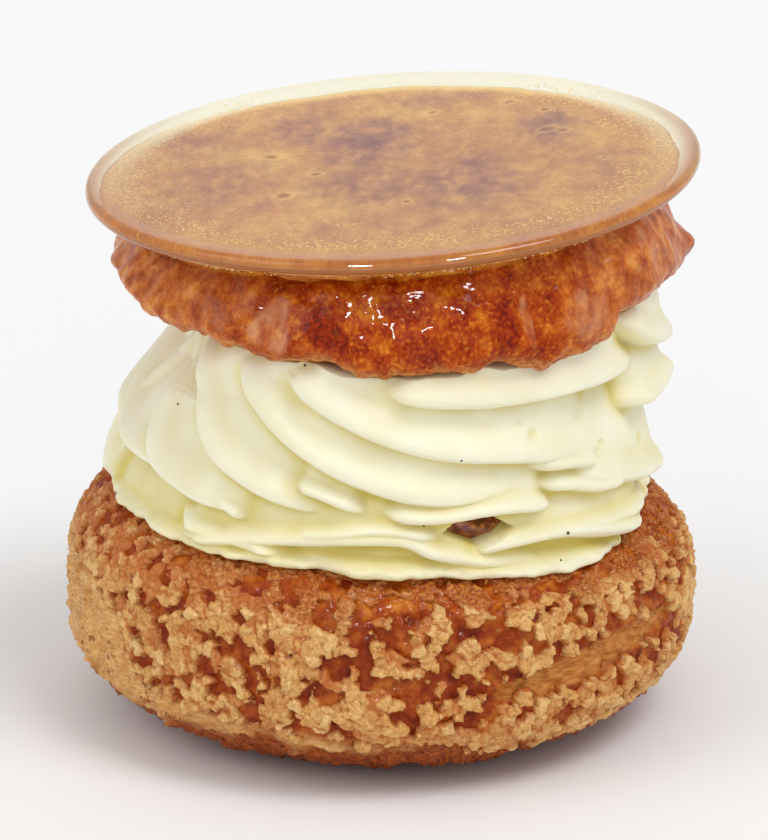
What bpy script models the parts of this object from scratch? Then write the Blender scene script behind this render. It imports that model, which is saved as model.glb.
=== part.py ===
"""A split cream puff: a squat choux bun with a crumbly crust, a tall piped swirl of cream
with a piece of nut in one of its folds, the bun's caramel-dipped lid, and a thin disc of
clear caramel on top. Units are metres, +Z is up and the shown side faces -Y.

A bearing is an angle round the puff: 0 at the front, 90 at +X, 180 at the back.
"""

import bmesh
import bpy
import math
import numpy as np
from mathutils import Vector, noise

MM = 0.001

# Driving dimensions of the bottom bun.
BASE_RADIUS = 37.2 * MM
BASE_LEFT_BULGE = 0.9 * MM
BASE_BELLY_LOW = 12.2 * MM
BASE_BELLY_HIGH = 16.0 * MM
BASE_FLAT_RADIUS = 17.0 * MM
BASE_CUT_RADIUS = 30.0 * MM
BASE_CUT_HEIGHT = 27.1 * MM
BASE_CUT_SLOPE = -0.052
BASE_SHOULDER_POWER = 2.5
BASE_BIG_LUMPS = (14 * MM, 0.6 * MM)
BASE_SMALL_LUMPS = (5 * MM, 0.4 * MM)

# Driving dimensions of the lid, which leans a little towards the front.
LID_RADIUS = 34.3 * MM
LID_CENTRE_X = 1.5 * MM
LID_UNDER_HEIGHT = 52.6 * MM
LID_UNDER_SLOPE = 0.055
LID_UNDER_RADIUS = 32.6 * MM
LID_TOP_RADIUS = 29.3 * MM
LID_TOP_LEFT_PULL_IN = 2.6 * MM
LID_NUB = 1.8 * MM
LID_NUB_BEARING = 88
LID_SHOULDER_END = 0.8
LID_HEIGHT = 13.0 * MM
LID_LUMPS = (9 * MM, 1.0 * MM)
LID_CURL_RIGHT = 2.2 * MM
LID_CURL_LEFT = 0.8 * MM

# Driving dimensions of the caramel disc, and how far it leans to the front and the left.
DISC_RADIUS = 36.4 * MM
DISC_THICKNESS = 1.8 * MM
DISC_EDGE_ROUND = 0.6 * MM
DISC_CENTRE_X = 1.1 * MM
DISC_CENTRE_HEIGHT = 66.7 * MM
DISC_SLOPE_X = 0.064
DISC_SLOPE_Y = 0.053

# Clearance kept between two pieces that touch.
GAP = 0.3 * MM

# The cream's body and its folds.
CREAM_RADIUS = 33.0 * MM
CREAM_FOOT_RADIUS = 32.6 * MM
CREAM_SHOULDER_HEIGHT = 30.0 * MM
CREAM_SHOULDER_RISE = 16.0 * MM
CREAM_PULL_IN_LEFT = 8.5 * MM
CREAM_PULL_IN_ELSEWHERE = 1.0 * MM
CREAM_CORE_DEPTH = 4.2 * MM
CREAM_FOOT_RISE = 5.0 * MM
CREAM_FOOT_TOP = 31.0 * MM

# The fold that holds the nut: a cavity under an overhanging lip, and the nut inside it.
CAVITY_BEARING = 17.5
CAVITY_HEIGHT = 31.9 * MM
CAVITY_RADIUS_FROM_AXIS = 31.5 * MM
CAVITY_HALF_SIZE = (4.1 * MM, 6.2 * MM, 1.75 * MM)
NUT_RADIUS_FROM_AXIS = 28.6 * MM
NUT_HALF_SIZE = (2.9 * MM, 2.0 * MM, 1.15 * MM)

# Segments round, and from top to bottom, of each modelled form.
BASE_GRID = (52, 20)
LID_GRID = (52, 16)
CREAM_GRID = (80, 32)
DISC_SEGMENTS = 56

# Each fold of the cream is the lower lip of a petal that the nozzle left. It runs through
# points of (bearing in degrees, height in mm), and has a face of some width above the lip.
FRONT_FOLDS = (
    {"path": ((-66, 51), (-78, 44), (-86, 36), (-82, 30), (-66, 28)), "face": 6.0, "lip": 1.2},
    {"path": ((-60, 50), (-62, 43), (-57, 37), (-44, 34.6), (-30, 33.4), (-22, 31.5)),
     "face": 7.0, "lip": 1.4},
    {"path": ((-51, 53), (-46, 47), (-40, 41), (-30, 37.6), (-15, 34.8), (-2, 34.4)),
     "face": 6.0, "lip": 1.6},
    {"path": ((-37, 53), (-30, 48), (-20, 43), (-6, 38.8), (10, 36.2), (30, 36.4), (44, 38)),
     "face": 6.5, "lip": 1.8},
    {"path": ((-25, 53), (-17, 48.6), (-4, 44.6), (11, 41.8), (28, 40.4), (50, 38.6),
              (70, 39.6)), "face": 6.0, "lip": 2.3},
    {"path": ((-6, 50.5), (6, 48.2), (22, 47.4), (44, 47.4), (62, 47.2), (84, 44.5)),
     "face": 5.0, "lip": 2.4},
    {"path": ((52, 55), (66, 50), (84, 47.5), (100, 48)), "face": 5.0, "lip": 2.6},
    {"path": ((58, 42), (72, 42.6), (88, 42.4), (106, 41.4)), "face": 3.5, "lip": 2.3},
    {"path": ((34, 38), (48, 35.6), (66, 33), (84, 31.8), (100, 32)), "face": 5.0, "lip": 1.0},
    {"path": ((-6, 35.2), (8, 34.2), (22, 34.6), (33, 34.0), (40, 32)), "face": 3.0,
     "lip": 1.7},
    {"path": ((14, 28.8), (24, 30.6), (44, 30), (66, 29.2), (88, 28.6)), "face": 3.0,
     "lip": 1.3},
    {"path": ((-60, 29), (-40, 29.6), (-20, 31), (2, 31.6), (12, 29.4), (34, 27.6),
              (60, 26.6)), "face": 3.2, "lip": 1.2},
    {"path": ((-110, 29.6), (-70, 29), (-30, 28.4), (10, 27.4), (50, 26.4), (90, 25.8)),
     "face": 3.0, "lip": 0.6},
)
BACK_FOLD_STARTS = (86, 118, 150, 182, 214, 246)
BACK_FOLD_SHAPE = ((0, 53), (8, 47.5), (20, 43), (36, 38.4), (54, 35.6), (74, 34.4))
BACK_FOLD_FACE = 6.0
BACK_FOLD_LIP = 1.9
BACK_BANDS = (
    {"path": ((80, 29), (120, 31), (160, 30), (200, 31.4), (240, 30.6), (282, 30)),
     "face": 3.4, "lip": 1.3},
    {"path": ((72, 26.2), (120, 26), (165, 27), (210, 28), (262, 29)), "face": 3.0, "lip": 0.7},
)

CRUST_COLOUR = (0.42, 0.15, 0.035)
CREAM_COLOUR = (0.86, 0.80, 0.58)
NUT_COLOUR = (0.22, 0.06, 0.012)
LID_COLOUR = (0.36, 0.08, 0.012)
CARAMEL_COLOUR = (0.80, 0.42, 0.14)


def clear_scene():
    for old in list(bpy.data.objects):
        bpy.data.objects.remove(old, do_unlink=True)


def new_collection(name, hidden=False):
    collection = bpy.data.collections.new(name)
    bpy.context.scene.collection.children.link(collection)
    collection.hide_render = hidden
    return collection


def food_material(name, colour, roughness):
    material = bpy.data.materials.new(name)
    material.use_nodes = True
    shader = material.node_tree.nodes["Principled BSDF"]
    shader.inputs["Base Color"].default_value = (*colour, 1.0)
    shader.inputs["Roughness"].default_value = roughness
    shader.inputs["Metallic"].default_value = 0.0
    return material


def object_from(bm, name, collection, material):
    bmesh.ops.recalc_face_normals(bm, faces=bm.faces)
    mesh = bpy.data.meshes.new(name)
    bm.to_mesh(mesh)
    bm.free()
    mesh.shade_smooth()
    if material:
        mesh.materials.append(material)
    obj = bpy.data.objects.new(name, mesh)
    collection.objects.link(obj)
    return obj


def at_bearing(bearing, radius):
    """The point in plan at a bearing in degrees and a distance from the axis."""
    angle = math.radians(bearing)
    return radius * math.sin(angle), -radius * math.cos(angle)


def bearing_of(x, y):
    return math.degrees(math.atan2(x, -y))


def bump(bearing, middle, half_width):
    """A soft bump of height 1 round one bearing."""
    away = (bearing - middle + 180.0) % 360.0 - 180.0
    return math.exp(-((away / half_width) ** 2))


def cut_plane(x):
    """Height of the bottom bun's cut face, on which the cream sits."""
    return BASE_CUT_HEIGHT + BASE_CUT_SLOPE * x


def disc_plane(x, y):
    """Height of the middle of the caramel disc."""
    return DISC_CENTRE_HEIGHT + DISC_SLOPE_X * (x - DISC_CENTRE_X) + DISC_SLOPE_Y * y


def lid_top(x, y):
    slant = math.sqrt(1.0 + DISC_SLOPE_X ** 2 + DISC_SLOPE_Y ** 2)
    return disc_plane(x, y) - slant * DISC_THICKNESS / 2 - GAP


def lid_under(x, y):
    """Height of the lid's underside, whose rim curls up at the right and a little at the left."""
    bearing = bearing_of(x - LID_CENTRE_X, y)
    out = min(1.0, math.hypot(x - LID_CENTRE_X, y) / LID_UNDER_RADIUS)
    curl = LID_CURL_RIGHT * bump(bearing, 66, 20) + LID_CURL_LEFT * bump(bearing, -75, 30)
    return LID_UNDER_HEIGHT + LID_UNDER_SLOPE * y + curl * out ** 4


def round_form(name, grid, outline, collection, material):
    """A ball of rings, each of whose points goes where outline(bearing, down) says.

    down runs from 0 at the middle of the top to 1 at the middle of the bottom.
    """
    bm = bmesh.new()
    bmesh.ops.create_uvsphere(bm, u_segments=grid[0], v_segments=grid[1], radius=1.0)
    for vertex in bm.verts:
        down = math.acos(max(-1.0, min(1.0, vertex.co.z))) / math.pi
        vertex.co = outline(bearing_of(vertex.co.x, vertex.co.y), down)
    return object_from(bm, name, collection, material)


def lumps(point, size_and_height, seed):
    """Smooth unevenness of a baked surface."""
    size, height = size_and_height
    return height * noise.noise(point / size + Vector((seed, 0.0, 0.0)))


def base_outline(bearing, down):
    """Flat cut face, round shoulder, straight belly, and an underside that curves in."""
    face_end, shoulder_end, curve_end = 0.15, 0.5, 0.85
    if down < face_end:
        radius = BASE_CUT_RADIUS * down / face_end
        x, y = at_bearing(bearing, radius)
        return Vector((x, y, cut_plane(x)))
    if down > curve_end:
        radius = BASE_FLAT_RADIUS * (1.0 - down) / (1.0 - curve_end)
        return Vector((*at_bearing(bearing, radius), 0.0))
    if down < shoulder_end:
        turn = math.radians(90.0 * (shoulder_end - down) / (shoulder_end - face_end))
        power = 2.0 / BASE_SHOULDER_POWER
        radius = BASE_CUT_RADIUS + (BASE_RADIUS - BASE_CUT_RADIUS) * math.cos(turn) ** power
        rise = cut_plane(at_bearing(bearing, radius)[0]) - BASE_BELLY_HIGH
        height = BASE_BELLY_HIGH + rise * math.sin(turn) ** power
    else:
        turn = math.radians(90.0 * (down - shoulder_end) / (curve_end - shoulder_end))
        radius = BASE_FLAT_RADIUS + (BASE_RADIUS - BASE_FLAT_RADIUS) * math.cos(turn)
        height = BASE_BELLY_LOW * (1.0 - math.sin(turn))
    spot = Vector((*at_bearing(bearing, radius), height))
    side = math.sin(math.pi * (down - face_end) / (curve_end - face_end))
    radius += side * (lumps(spot, BASE_BIG_LUMPS, 3.0) + lumps(spot, BASE_SMALL_LUMPS, 9.0))
    radius += side * BASE_LEFT_BULGE * bump(bearing, -85, 50)
    return Vector((*at_bearing(bearing, radius), height))


def lid_top_radius(bearing):
    return LID_TOP_RADIUS - LID_TOP_LEFT_PULL_IN * bump(bearing, -90, 60)


def lid_outline(bearing, down):
    """Flat top under the disc, bulging side, and an underside that rests on the cream."""
    top_end, under_start = 0.2, 0.8
    if down <= top_end:
        x, y = at_bearing(bearing, lid_top_radius(bearing) * down / top_end)
        x += LID_CENTRE_X
        return Vector((x, y, lid_top(x, y)))
    if down >= under_start:
        x, y = at_bearing(bearing, LID_UNDER_RADIUS * (1.0 - down) / (1.0 - under_start))
        x += LID_CENTRE_X
        return Vector((x, y, lid_under(x, y)))
    along = (down - top_end) / (under_start - top_end)
    shoulder = max(0.0, 1.0 - along / LID_SHOULDER_END) ** 1.5
    lower_edge = max(0.0, along - LID_SHOULDER_END) / (1.0 - LID_SHOULDER_END)
    radius = LID_RADIUS - shoulder * (LID_RADIUS - lid_top_radius(bearing))
    radius -= lower_edge ** 2 * (LID_RADIUS - LID_UNDER_RADIUS)
    side = math.sin(math.pi * along)
    spot = Vector((*at_bearing(bearing, radius), along * LID_HEIGHT))
    nub = LID_NUB * bump(bearing, LID_NUB_BEARING, 6) * math.exp(-(((along - 0.7) / 0.15) ** 2))
    x, y = at_bearing(bearing, radius + side * lumps(spot, LID_LUMPS, 5.0) + nub)
    x += LID_CENTRE_X
    high, low = lid_top(x, y), lid_under(x, y)
    return Vector((x, y, high + (low - high) * along))


def smooth_step(value):
    value = min(1.0, max(0.0, value))
    return value * value * (3.0 - 2.0 * value)


def cream_body_radius(bearing, height):
    """The swirl without its folds: full at the foot, drawn in under the lid at the left."""
    up = min(1.0, max(0.0, (height - CREAM_SHOULDER_HEIGHT) / CREAM_SHOULDER_RISE)) ** 1.9
    pull = CREAM_PULL_IN_ELSEWHERE + CREAM_PULL_IN_LEFT * bump(bearing, -88, 42)
    foot = smooth_step((CREAM_FOOT_TOP - height) / CREAM_FOOT_RISE)
    return CREAM_RADIUS - up * pull - foot * (CREAM_RADIUS - CREAM_FOOT_RADIUS)


def smooth_path(points, steps=6):
    """A Catmull-Rom curve through points of (bearing, height in mm), as plan length and height."""
    corners = [np.array((math.radians(b) * CREAM_RADIUS, h * MM)) for b, h in points]
    corners = [2 * corners[0] - corners[1], *corners, 2 * corners[-1] - corners[-2]]
    curve = []
    for before, start, end, after in zip(corners, corners[1:], corners[2:], corners[3:]):
        for step in range(steps):
            t = step / steps
            curve.append(0.5 * (2 * start + (end - before) * t
                                + (2 * before - 5 * start + 4 * end - after) * t ** 2
                                + (3 * start - before - 3 * end + after) * t ** 3))
    curve.append(corners[-2])
    return np.array(curve)


class Fold:
    """One petal's lip: how far a point of the cream's side stands out because of it."""

    UNDERCUT = 1.6 * MM
    FADE = 0.16

    def __init__(self, path, face, lip):
        self.middle = (path[0][0] + path[-1][0]) / 2
        self.curve = smooth_path(path)
        self.face = face * MM
        self.lip = lip * MM

    def height_at(self, bearing, height):
        near = self.middle + (bearing - self.middle + 180.0) % 360.0 - 180.0
        point = np.array((math.radians(near) * CREAM_RADIUS, height))
        legs = self.curve[1:] - self.curve[:-1]
        reach = point - self.curve[:-1]
        along = np.clip((reach * legs).sum(axis=1) / (legs ** 2).sum(axis=1), 0.0, 1.0)
        off = reach - along[:, None] * legs
        nearest = int(np.argmin((off ** 2).sum(axis=1)))
        distance = float(np.hypot(*off[nearest]))
        turn = legs[nearest][0] * reach[nearest][1] - legs[nearest][1] * reach[nearest][0]
        run = (nearest + along[nearest]) / len(legs)
        fade = smooth_step(min(run, 1.0 - run) / self.FADE)
        if turn >= 0:
            drop = min(2.0, distance / self.face) ** 1.4
        else:
            drop = (distance / self.UNDERCUT) ** 2
        return self.lip * fade - CREAM_CORE_DEPTH * (0.5 * drop + 0.6 * (1.0 - fade))


def all_folds():
    folds = [Fold(**fold) for fold in FRONT_FOLDS]
    for start in BACK_FOLD_STARTS:
        path = [(start + along, height) for along, height in BACK_FOLD_SHAPE]
        folds.append(Fold(path, BACK_FOLD_FACE, BACK_FOLD_LIP))
    folds += [Fold(**band) for band in BACK_BANDS]
    return folds


def cream_outline_from(folds):
    """The outline of the swirl: flat foot on the bun, folded side, top under the lid."""
    top_end, foot_start = 0.09, 0.93

    def cream_radius(bearing, height):
        standing_out = max(fold.height_at(bearing, height) for fold in folds)
        return cream_body_radius(bearing, height) + max(standing_out, -CREAM_CORE_DEPTH)

    def side_point(bearing, along):
        x, y = at_bearing(bearing, CREAM_RADIUS)
        for _ in range(2):
            high, low = lid_under(x, y) - GAP, cut_plane(x) + GAP
            height = high + (low - high) * along
            x, y = at_bearing(bearing, cream_radius(bearing, height))
        return Vector((x, y, high + (low - high) * along))

    def cream_outline(bearing, down):
        if down < top_end:
            rim = side_point(bearing, 0.0)
            x, y = rim.x * down / top_end, rim.y * down / top_end
            return Vector((x, y, lid_under(x, y) - GAP))
        if down > foot_start:
            rim = side_point(bearing, 1.0)
            inwards = (1.0 - down) / (1.0 - foot_start)
            x, y = rim.x * inwards, rim.y * inwards
            return Vector((x, y, cut_plane(x) + GAP))
        return side_point(bearing, (down - top_end) / (foot_start - top_end))

    return cream_outline


def stretched_ball(name, segments, rings, half_size, bearing, radius, height, collection):
    """A ball stretched along the bearing's own directions: round the puff, outwards and up."""
    bm = bmesh.new()
    bmesh.ops.create_uvsphere(bm, u_segments=segments, v_segments=rings, radius=1.0)
    for vertex in bm.verts:
        vertex.co = Vector((a * b for a, b in zip(vertex.co, half_size)))
    ball = object_from(bm, name, collection, None)
    ball.location = (*at_bearing(bearing, radius), height)
    ball.rotation_euler.z = math.radians(bearing)
    return ball


def make_base(collection):
    crust = food_material("crust", CRUST_COLOUR, 0.6)
    return round_form("bun_base", BASE_GRID, base_outline, collection, crust)


def make_cream(collection, cutters):
    """The folded swirl, with the cavity cut out under one of its lips."""
    material = food_material("cream", CREAM_COLOUR, 0.45)
    outline = cream_outline_from(all_folds())
    cream = round_form("cream", CREAM_GRID, outline, collection, material)
    cavity = stretched_ball("cavity_cutter", 16, 10, CAVITY_HALF_SIZE, CAVITY_BEARING,
                            CAVITY_RADIUS_FROM_AXIS, CAVITY_HEIGHT, cutters)
    cavity.hide_render = True
    cavity.display_type = "WIRE"
    cut = cream.modifiers.new("cavity", "BOOLEAN")
    cut.operation = "DIFFERENCE"
    cut.object = cavity
    return cream


def make_nut(collection):
    """A broken, caramelised piece of nut: a ball with knocked-off corners."""
    bm = bmesh.new()
    bmesh.ops.create_icosphere(bm, subdivisions=2, radius=1.0)
    for vertex in bm.verts:
        rough = 0.9 + 0.1 * noise.noise(vertex.co * 1.7 + Vector((2.0, 5.0, 1.0)))
        vertex.co = Vector((a * b * rough for a, b in zip(vertex.co, NUT_HALF_SIZE)))
    nut = object_from(bm, "nut_piece", collection, food_material("nut", NUT_COLOUR, 0.35))
    nut.location = (*at_bearing(CAVITY_BEARING, NUT_RADIUS_FROM_AXIS), CAVITY_HEIGHT)
    nut.rotation_euler.z = math.radians(CAVITY_BEARING)
    return nut


def make_lid(collection):
    glaze = food_material("glazed_crust", LID_COLOUR, 0.2)
    return round_form("bun_lid", LID_GRID, lid_outline, collection, glaze)


def make_disc(collection):
    """A cast disc of caramel with a rounded rim, laid on the lid."""
    bm = bmesh.new()
    bmesh.ops.create_cone(bm, cap_ends=True, segments=DISC_SEGMENTS, radius1=DISC_RADIUS,
                          radius2=DISC_RADIUS, depth=DISC_THICKNESS)
    disc = object_from(bm, "caramel_disc", collection,
                       food_material("caramel", CARAMEL_COLOUR, 0.08))
    disc.data.set_sharp_from_angle(angle=math.radians(40))
    rim = disc.modifiers.new("rounded rim", "BEVEL")
    rim.width = DISC_EDGE_ROUND
    rim.segments = 2
    rim.limit_method = "ANGLE"
    rim.angle_limit = math.radians(40)
    normal = Vector((-DISC_SLOPE_X, -DISC_SLOPE_Y, 1.0))
    disc.rotation_mode = "QUATERNION"
    disc.rotation_quaternion = Vector((0.0, 0.0, 1.0)).rotation_difference(normal)
    disc.location = (DISC_CENTRE_X, 0.0, DISC_CENTRE_HEIGHT)
    return disc


def main():
    clear_scene()
    puff = new_collection("cream_puff")
    cutters = new_collection("cutters", hidden=True)
    make_base(puff)
    make_cream(puff, cutters)
    make_nut(puff)
    make_lid(puff)
    make_disc(puff)


main()
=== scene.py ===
# %% [markdown]
# A split cream puff, step by step. The real thing is a squat choux bun cut in two: crumbly
# crust below, a tall swirl of piped vanilla cream, a lid dipped in caramel and a thin disc
# of clear caramel on top. The solid model is loaded first and never moved. It gives every
# piece its place, so what follows only has to make surfaces and finishes around it.

# %% Load the solid model
import math
import bmesh
import bpy
import numpy as np
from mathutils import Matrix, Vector, noise


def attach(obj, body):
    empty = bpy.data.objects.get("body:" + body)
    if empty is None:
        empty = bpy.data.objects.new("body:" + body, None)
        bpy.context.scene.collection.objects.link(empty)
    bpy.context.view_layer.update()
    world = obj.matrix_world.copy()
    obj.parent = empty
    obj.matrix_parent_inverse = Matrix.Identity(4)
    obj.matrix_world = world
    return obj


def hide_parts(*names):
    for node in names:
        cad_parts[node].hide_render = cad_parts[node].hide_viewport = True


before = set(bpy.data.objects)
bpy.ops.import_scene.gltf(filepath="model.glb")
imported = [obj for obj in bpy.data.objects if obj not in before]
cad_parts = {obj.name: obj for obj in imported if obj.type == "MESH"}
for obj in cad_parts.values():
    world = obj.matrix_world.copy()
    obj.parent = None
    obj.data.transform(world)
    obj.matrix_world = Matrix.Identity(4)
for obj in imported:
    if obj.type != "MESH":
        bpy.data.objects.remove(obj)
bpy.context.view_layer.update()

# %% [markdown]
# Food is modelled in millimetres here, because that is how a baker would measure it, and
# turned into metres at the very end. A bearing is an angle round the puff: 0 at the front,
# 90 at the right, 180 at the back. Hand-made food has no straight lines, so most values are
# soft bumps and soft steps rather than on or off.

# %% Helpers: places and soft steps
MM = 0.001


def at_bearing(bearing, radius):
    """Points in plan at bearings in degrees and distances from the axis."""
    angle = np.radians(bearing)
    return radius * np.sin(angle), -radius * np.cos(angle)


def bearing_of(x, y):
    return np.degrees(np.arctan2(x, -y))


def space_points(bearing, radius, height):
    """Points in space at bearings, distances from the axis and heights."""
    x, y = at_bearing(bearing, radius)
    return np.stack(np.broadcast_arrays(x, y, height), axis=-1)


def bump(bearing, middle, half_width):
    """A soft bump of height 1 round one bearing."""
    away = (bearing - middle + 180.0) % 360.0 - 180.0
    return np.exp(-((away / half_width) ** 2))


def bumps(bearing, table):
    """Several bumps added up; each is (height, bearing of its middle, half width)."""
    return sum(tall * bump(bearing, middle, half_width) for tall, middle, half_width in table)


def soft_step(value, start=0.0, end=1.0):
    """0 before start, 1 after end, and a smooth rise between them."""
    share = np.clip((value - start) / (end - start), 0.0, 1.0)
    return share * share * (3.0 - 2.0 * share)


def soft_drop(value, start=0.0, end=1.0):
    """1 before start, 0 after end, and a smooth fall between them."""
    return 1.0 - soft_step(value, start, end)


def between(share, low, high):
    return low + (high - low) * share


print("a soft step half way up:", soft_step(0.5))

# %% [markdown]
# Crust, crumb and whipped cream are uneven at several sizes at once: broad lumps, small lumps
# and a fine grain. Fractal noise with a size in millimetres gives each of them. Adding up a
# few layers is easier to control than one noise with many octaves.

# %% Helpers: unevenness
def lumps(points, size, seed, octaves=1):
    """Smooth unevenness, about -1 to 1, with lumps of one size in millimetres."""
    shift = Vector((seed * 7.13, seed * 3.71, seed * 1.37))
    flat = (points.reshape(-1, 3) / size).tolist()
    values = [noise.fractal(Vector(p) + shift, 0.9, 2.0, octaves) for p in flat]
    return np.array(values).reshape(points.shape[:-1])


def layered(points, layers):
    """Unevenness in layers; each is (strength in mm, size in mm, seed, octaves)."""
    return sum(strength * lumps(points, size, seed, octaves)
               for strength, size, seed, octaves in layers)


def outward(rings):
    """Unit directions out of a sheet of rings, by finite differences."""
    down = np.gradient(rings, axis=0)
    around = np.roll(rings, -1, axis=1) - np.roll(rings, 1, axis=1)
    normal = np.cross(down, around)
    length = np.linalg.norm(normal, axis=-1, keepdims=True)
    return normal / np.maximum(length, 1e-9)


print("lumps at the origin:", round(float(lumps(np.zeros((1, 3)), 2.0, 1)[0]), 3))

# %% [markdown]
# Everything on the puff is round, so nearly every piece is a stack of rings, sewn together
# and closed at both ends. Modifiers could bend a sphere into shape, but rings put each point
# exactly where a formula says, and let it remember numbers that its finish can read later.

# %% Helpers: meshes
def add_object(name, data):
    item = bpy.data.objects.new(name, data)
    bpy.context.scene.collection.objects.link(item)
    return item


def mesh_object(name, points, faces):
    """A smooth-shaded object from points in millimetres and faces."""
    mesh = bpy.data.meshes.new(name)
    mesh.from_pydata((np.asarray(points) * MM).tolist(), [], faces)
    mesh.update()
    mesh.shade_smooth()
    return add_object(name, mesh)


def ring_faces(rows, columns):
    """The four-sided faces between rings that close on themselves."""
    row = np.arange(rows - 1)[:, None] * columns
    column = np.arange(columns)[None, :]
    after = (column + 1) % columns
    corners = [row + column, row + columns + column, row + columns + after, row + after]
    return np.stack(corners, axis=-1).reshape(-1, 4)


def closed_form(name, rings):
    """A closed form: rings from top to bottom, with a fan at each end."""
    rows, columns = rings.shape[:2]
    points = np.vstack([rings.reshape(-1, 3), rings[0].mean(axis=0), rings[-1].mean(axis=0)])
    faces = ring_faces(rows, columns).tolist()
    top, bottom, last = len(points) - 2, len(points) - 1, (rows - 1) * columns
    for column in range(columns):
        after = (column + 1) % columns
        faces.append([top, column, after])
        faces.append([bottom, last + after, last + column])
    return mesh_object(name, points, faces)


def remember(piece, caps=(0, 0), **fields):
    """Stores numbers for a finish to read; cap rings take those of the ring next to them."""
    before, after = caps
    for name, values in fields.items():
        rows = [np.repeat(values[:1], before, axis=0), values,
                np.repeat(values[-1:], after, axis=0)]
        flat = np.concatenate(rows).astype(float).ravel()
        padded = np.zeros(len(piece.data.vertices))
        padded[:len(flat)] = flat
        kept = piece.data.attributes.new(name, "FLOAT", "POINT")
        kept.data.foreach_set("value", padded)


def set_in_place(piece, node):
    """Ties a piece to the solid that it stands for, and prints how fine it is."""
    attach(piece, "root")
    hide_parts(node)
    triangles = sum(len(face.vertices) - 2 for face in piece.data.polygons)
    print(piece.name, "has", triangles, "triangles")


print("faces between two rings of four points:", len(ring_faces(2, 4)))

# %% [markdown]
# Finishes are node trees: a Principled shader whose colour, roughness and bump come from
# noise at the size of the real grain. These small helpers keep each finish short to read.
# Colours are given as seen on screen, from 0 to 255, and turned into light values.

# %% Helpers: finishes
def light_value(colour):
    """Turns a screen colour of 0 to 255 into the linear values that shaders use."""
    shares = [value / 255 for value in colour]
    return [s / 12.92 if s <= 0.04045 else ((s + 0.055) / 1.055) ** 2.4 for s in shares]


class Finish:
    """One material, with short names for the nodes that most foods need."""

    def __init__(self, name, roughness, **sockets):
        self.material = bpy.data.materials.new(name)
        self.material.use_nodes = True
        self.nodes = self.material.node_tree.nodes
        self.links = self.material.node_tree.links
        self.shader = self.nodes["Principled BSDF"]
        self.shader.inputs["Roughness"].default_value = roughness
        for socket, value in sockets.items():
            self.shader.inputs[socket.replace("_", " ")].default_value = value
        self.place = self.nodes.new("ShaderNodeTexCoord").outputs["Object"]

    def grain(self, size, detail=3.0, roughness=0.55, stretch=None):
        """Noise of 0 to 1 whose lumps are about size millimetres across."""
        node = self.nodes.new("ShaderNodeTexNoise")
        node.inputs["Scale"].default_value = 1.0 / (size * MM)
        node.inputs["Detail"].default_value = detail
        node.inputs["Roughness"].default_value = roughness
        place = self.place
        if stretch:
            mapping = self.nodes.new("ShaderNodeMapping")
            mapping.inputs["Scale"].default_value = stretch
            self.links.new(place, mapping.inputs["Vector"])
            place = mapping.outputs["Vector"]
        self.links.new(place, node.inputs["Vector"])
        return node.outputs["Fac"]

    def kept(self, name):
        """A number that was stored on the points of the piece."""
        node = self.nodes.new("ShaderNodeAttribute")
        node.attribute_name = name
        return node.outputs["Fac"]

    def ramp(self, value, *stops):
        """Colours by value; each stop is (place, screen colour)."""
        node = self.nodes.new("ShaderNodeValToRGB")
        spare = node.color_ramp.elements
        while len(spare) < len(stops):
            spare.new(0.5)
        for element, (place, colour) in zip(spare, stops):
            element.position = place
            element.color = (*light_value(colour), 1.0)
        self.links.new(value, node.inputs["Fac"])
        return node.outputs["Color"]

    def blend(self, share, first, second, mode="MIX"):
        """Goes from the first colour to the second as share goes from 0 to 1."""
        node = self.nodes.new("ShaderNodeMix")
        node.data_type = "RGBA"
        node.blend_type = mode
        for socket, value in ((0, share), (6, first), (7, second)):
            if isinstance(value, (int, float)):
                node.inputs[socket].default_value = value
            elif isinstance(value, tuple):
                node.inputs[socket].default_value = (*light_value(value), 1.0)
            else:
                self.links.new(value, node.inputs[socket])
        return node.outputs[2]

    def spread(self, value, low, high, start=0.0, end=1.0):
        """Maps a value smoothly from the range start-end to the range low-high."""
        node = self.nodes.new("ShaderNodeMapRange")
        node.interpolation_type = "SMOOTHSTEP"
        for socket, number in (("From Min", start), ("From Max", end),
                               ("To Min", low), ("To Max", high)):
            node.inputs[socket].default_value = number
        self.links.new(value, node.inputs["Value"])
        return node.outputs["Result"]

    def where(self, name, under, over, most=None):
        """Lays one colour over another where a stored number is high, up to most of it."""
        share = self.kept(name)
        if most is not None:
            share = self.spread(share, 0.0, most)
        return self.blend(share, under, over)

    def use(self, socket, value):
        self.links.new(value, self.shader.inputs[socket])

    def relief(self, *layers, socket="Normal"):
        """Bump in layers, the coarse one first; each is (height, depth in millimetres)."""
        below = None
        for height, depth in layers:
            node = self.nodes.new("ShaderNodeBump")
            node.inputs["Distance"].default_value = depth * MM
            self.links.new(height, node.inputs["Height"])
            if below:
                self.links.new(below, node.inputs["Normal"])
            below = node.outputs["Normal"]
        self.use(socket, below)

    def put_on(self, piece):
        piece.data.materials.clear()
        piece.data.materials.append(self.material)
        print(self.material.name, "on", piece.name)


print("mid grey on screen is", round(light_value((128,))[0], 3), "of full light")

# %% [markdown]
# A small cake shows best through a long lens from a little above: the sides stay upright and
# the top still shows. The camera stands 55 cm away, 18 degrees up, level with the middle.

# %% Place the camera
CAMERA_DISTANCE = 550.0
CAMERA_RISE = 18.0
CAMERA_TARGET_HEIGHT = 35.2
CAMERA_LENS = 195.5
CAMERA_NEAREST = 0.01


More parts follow.
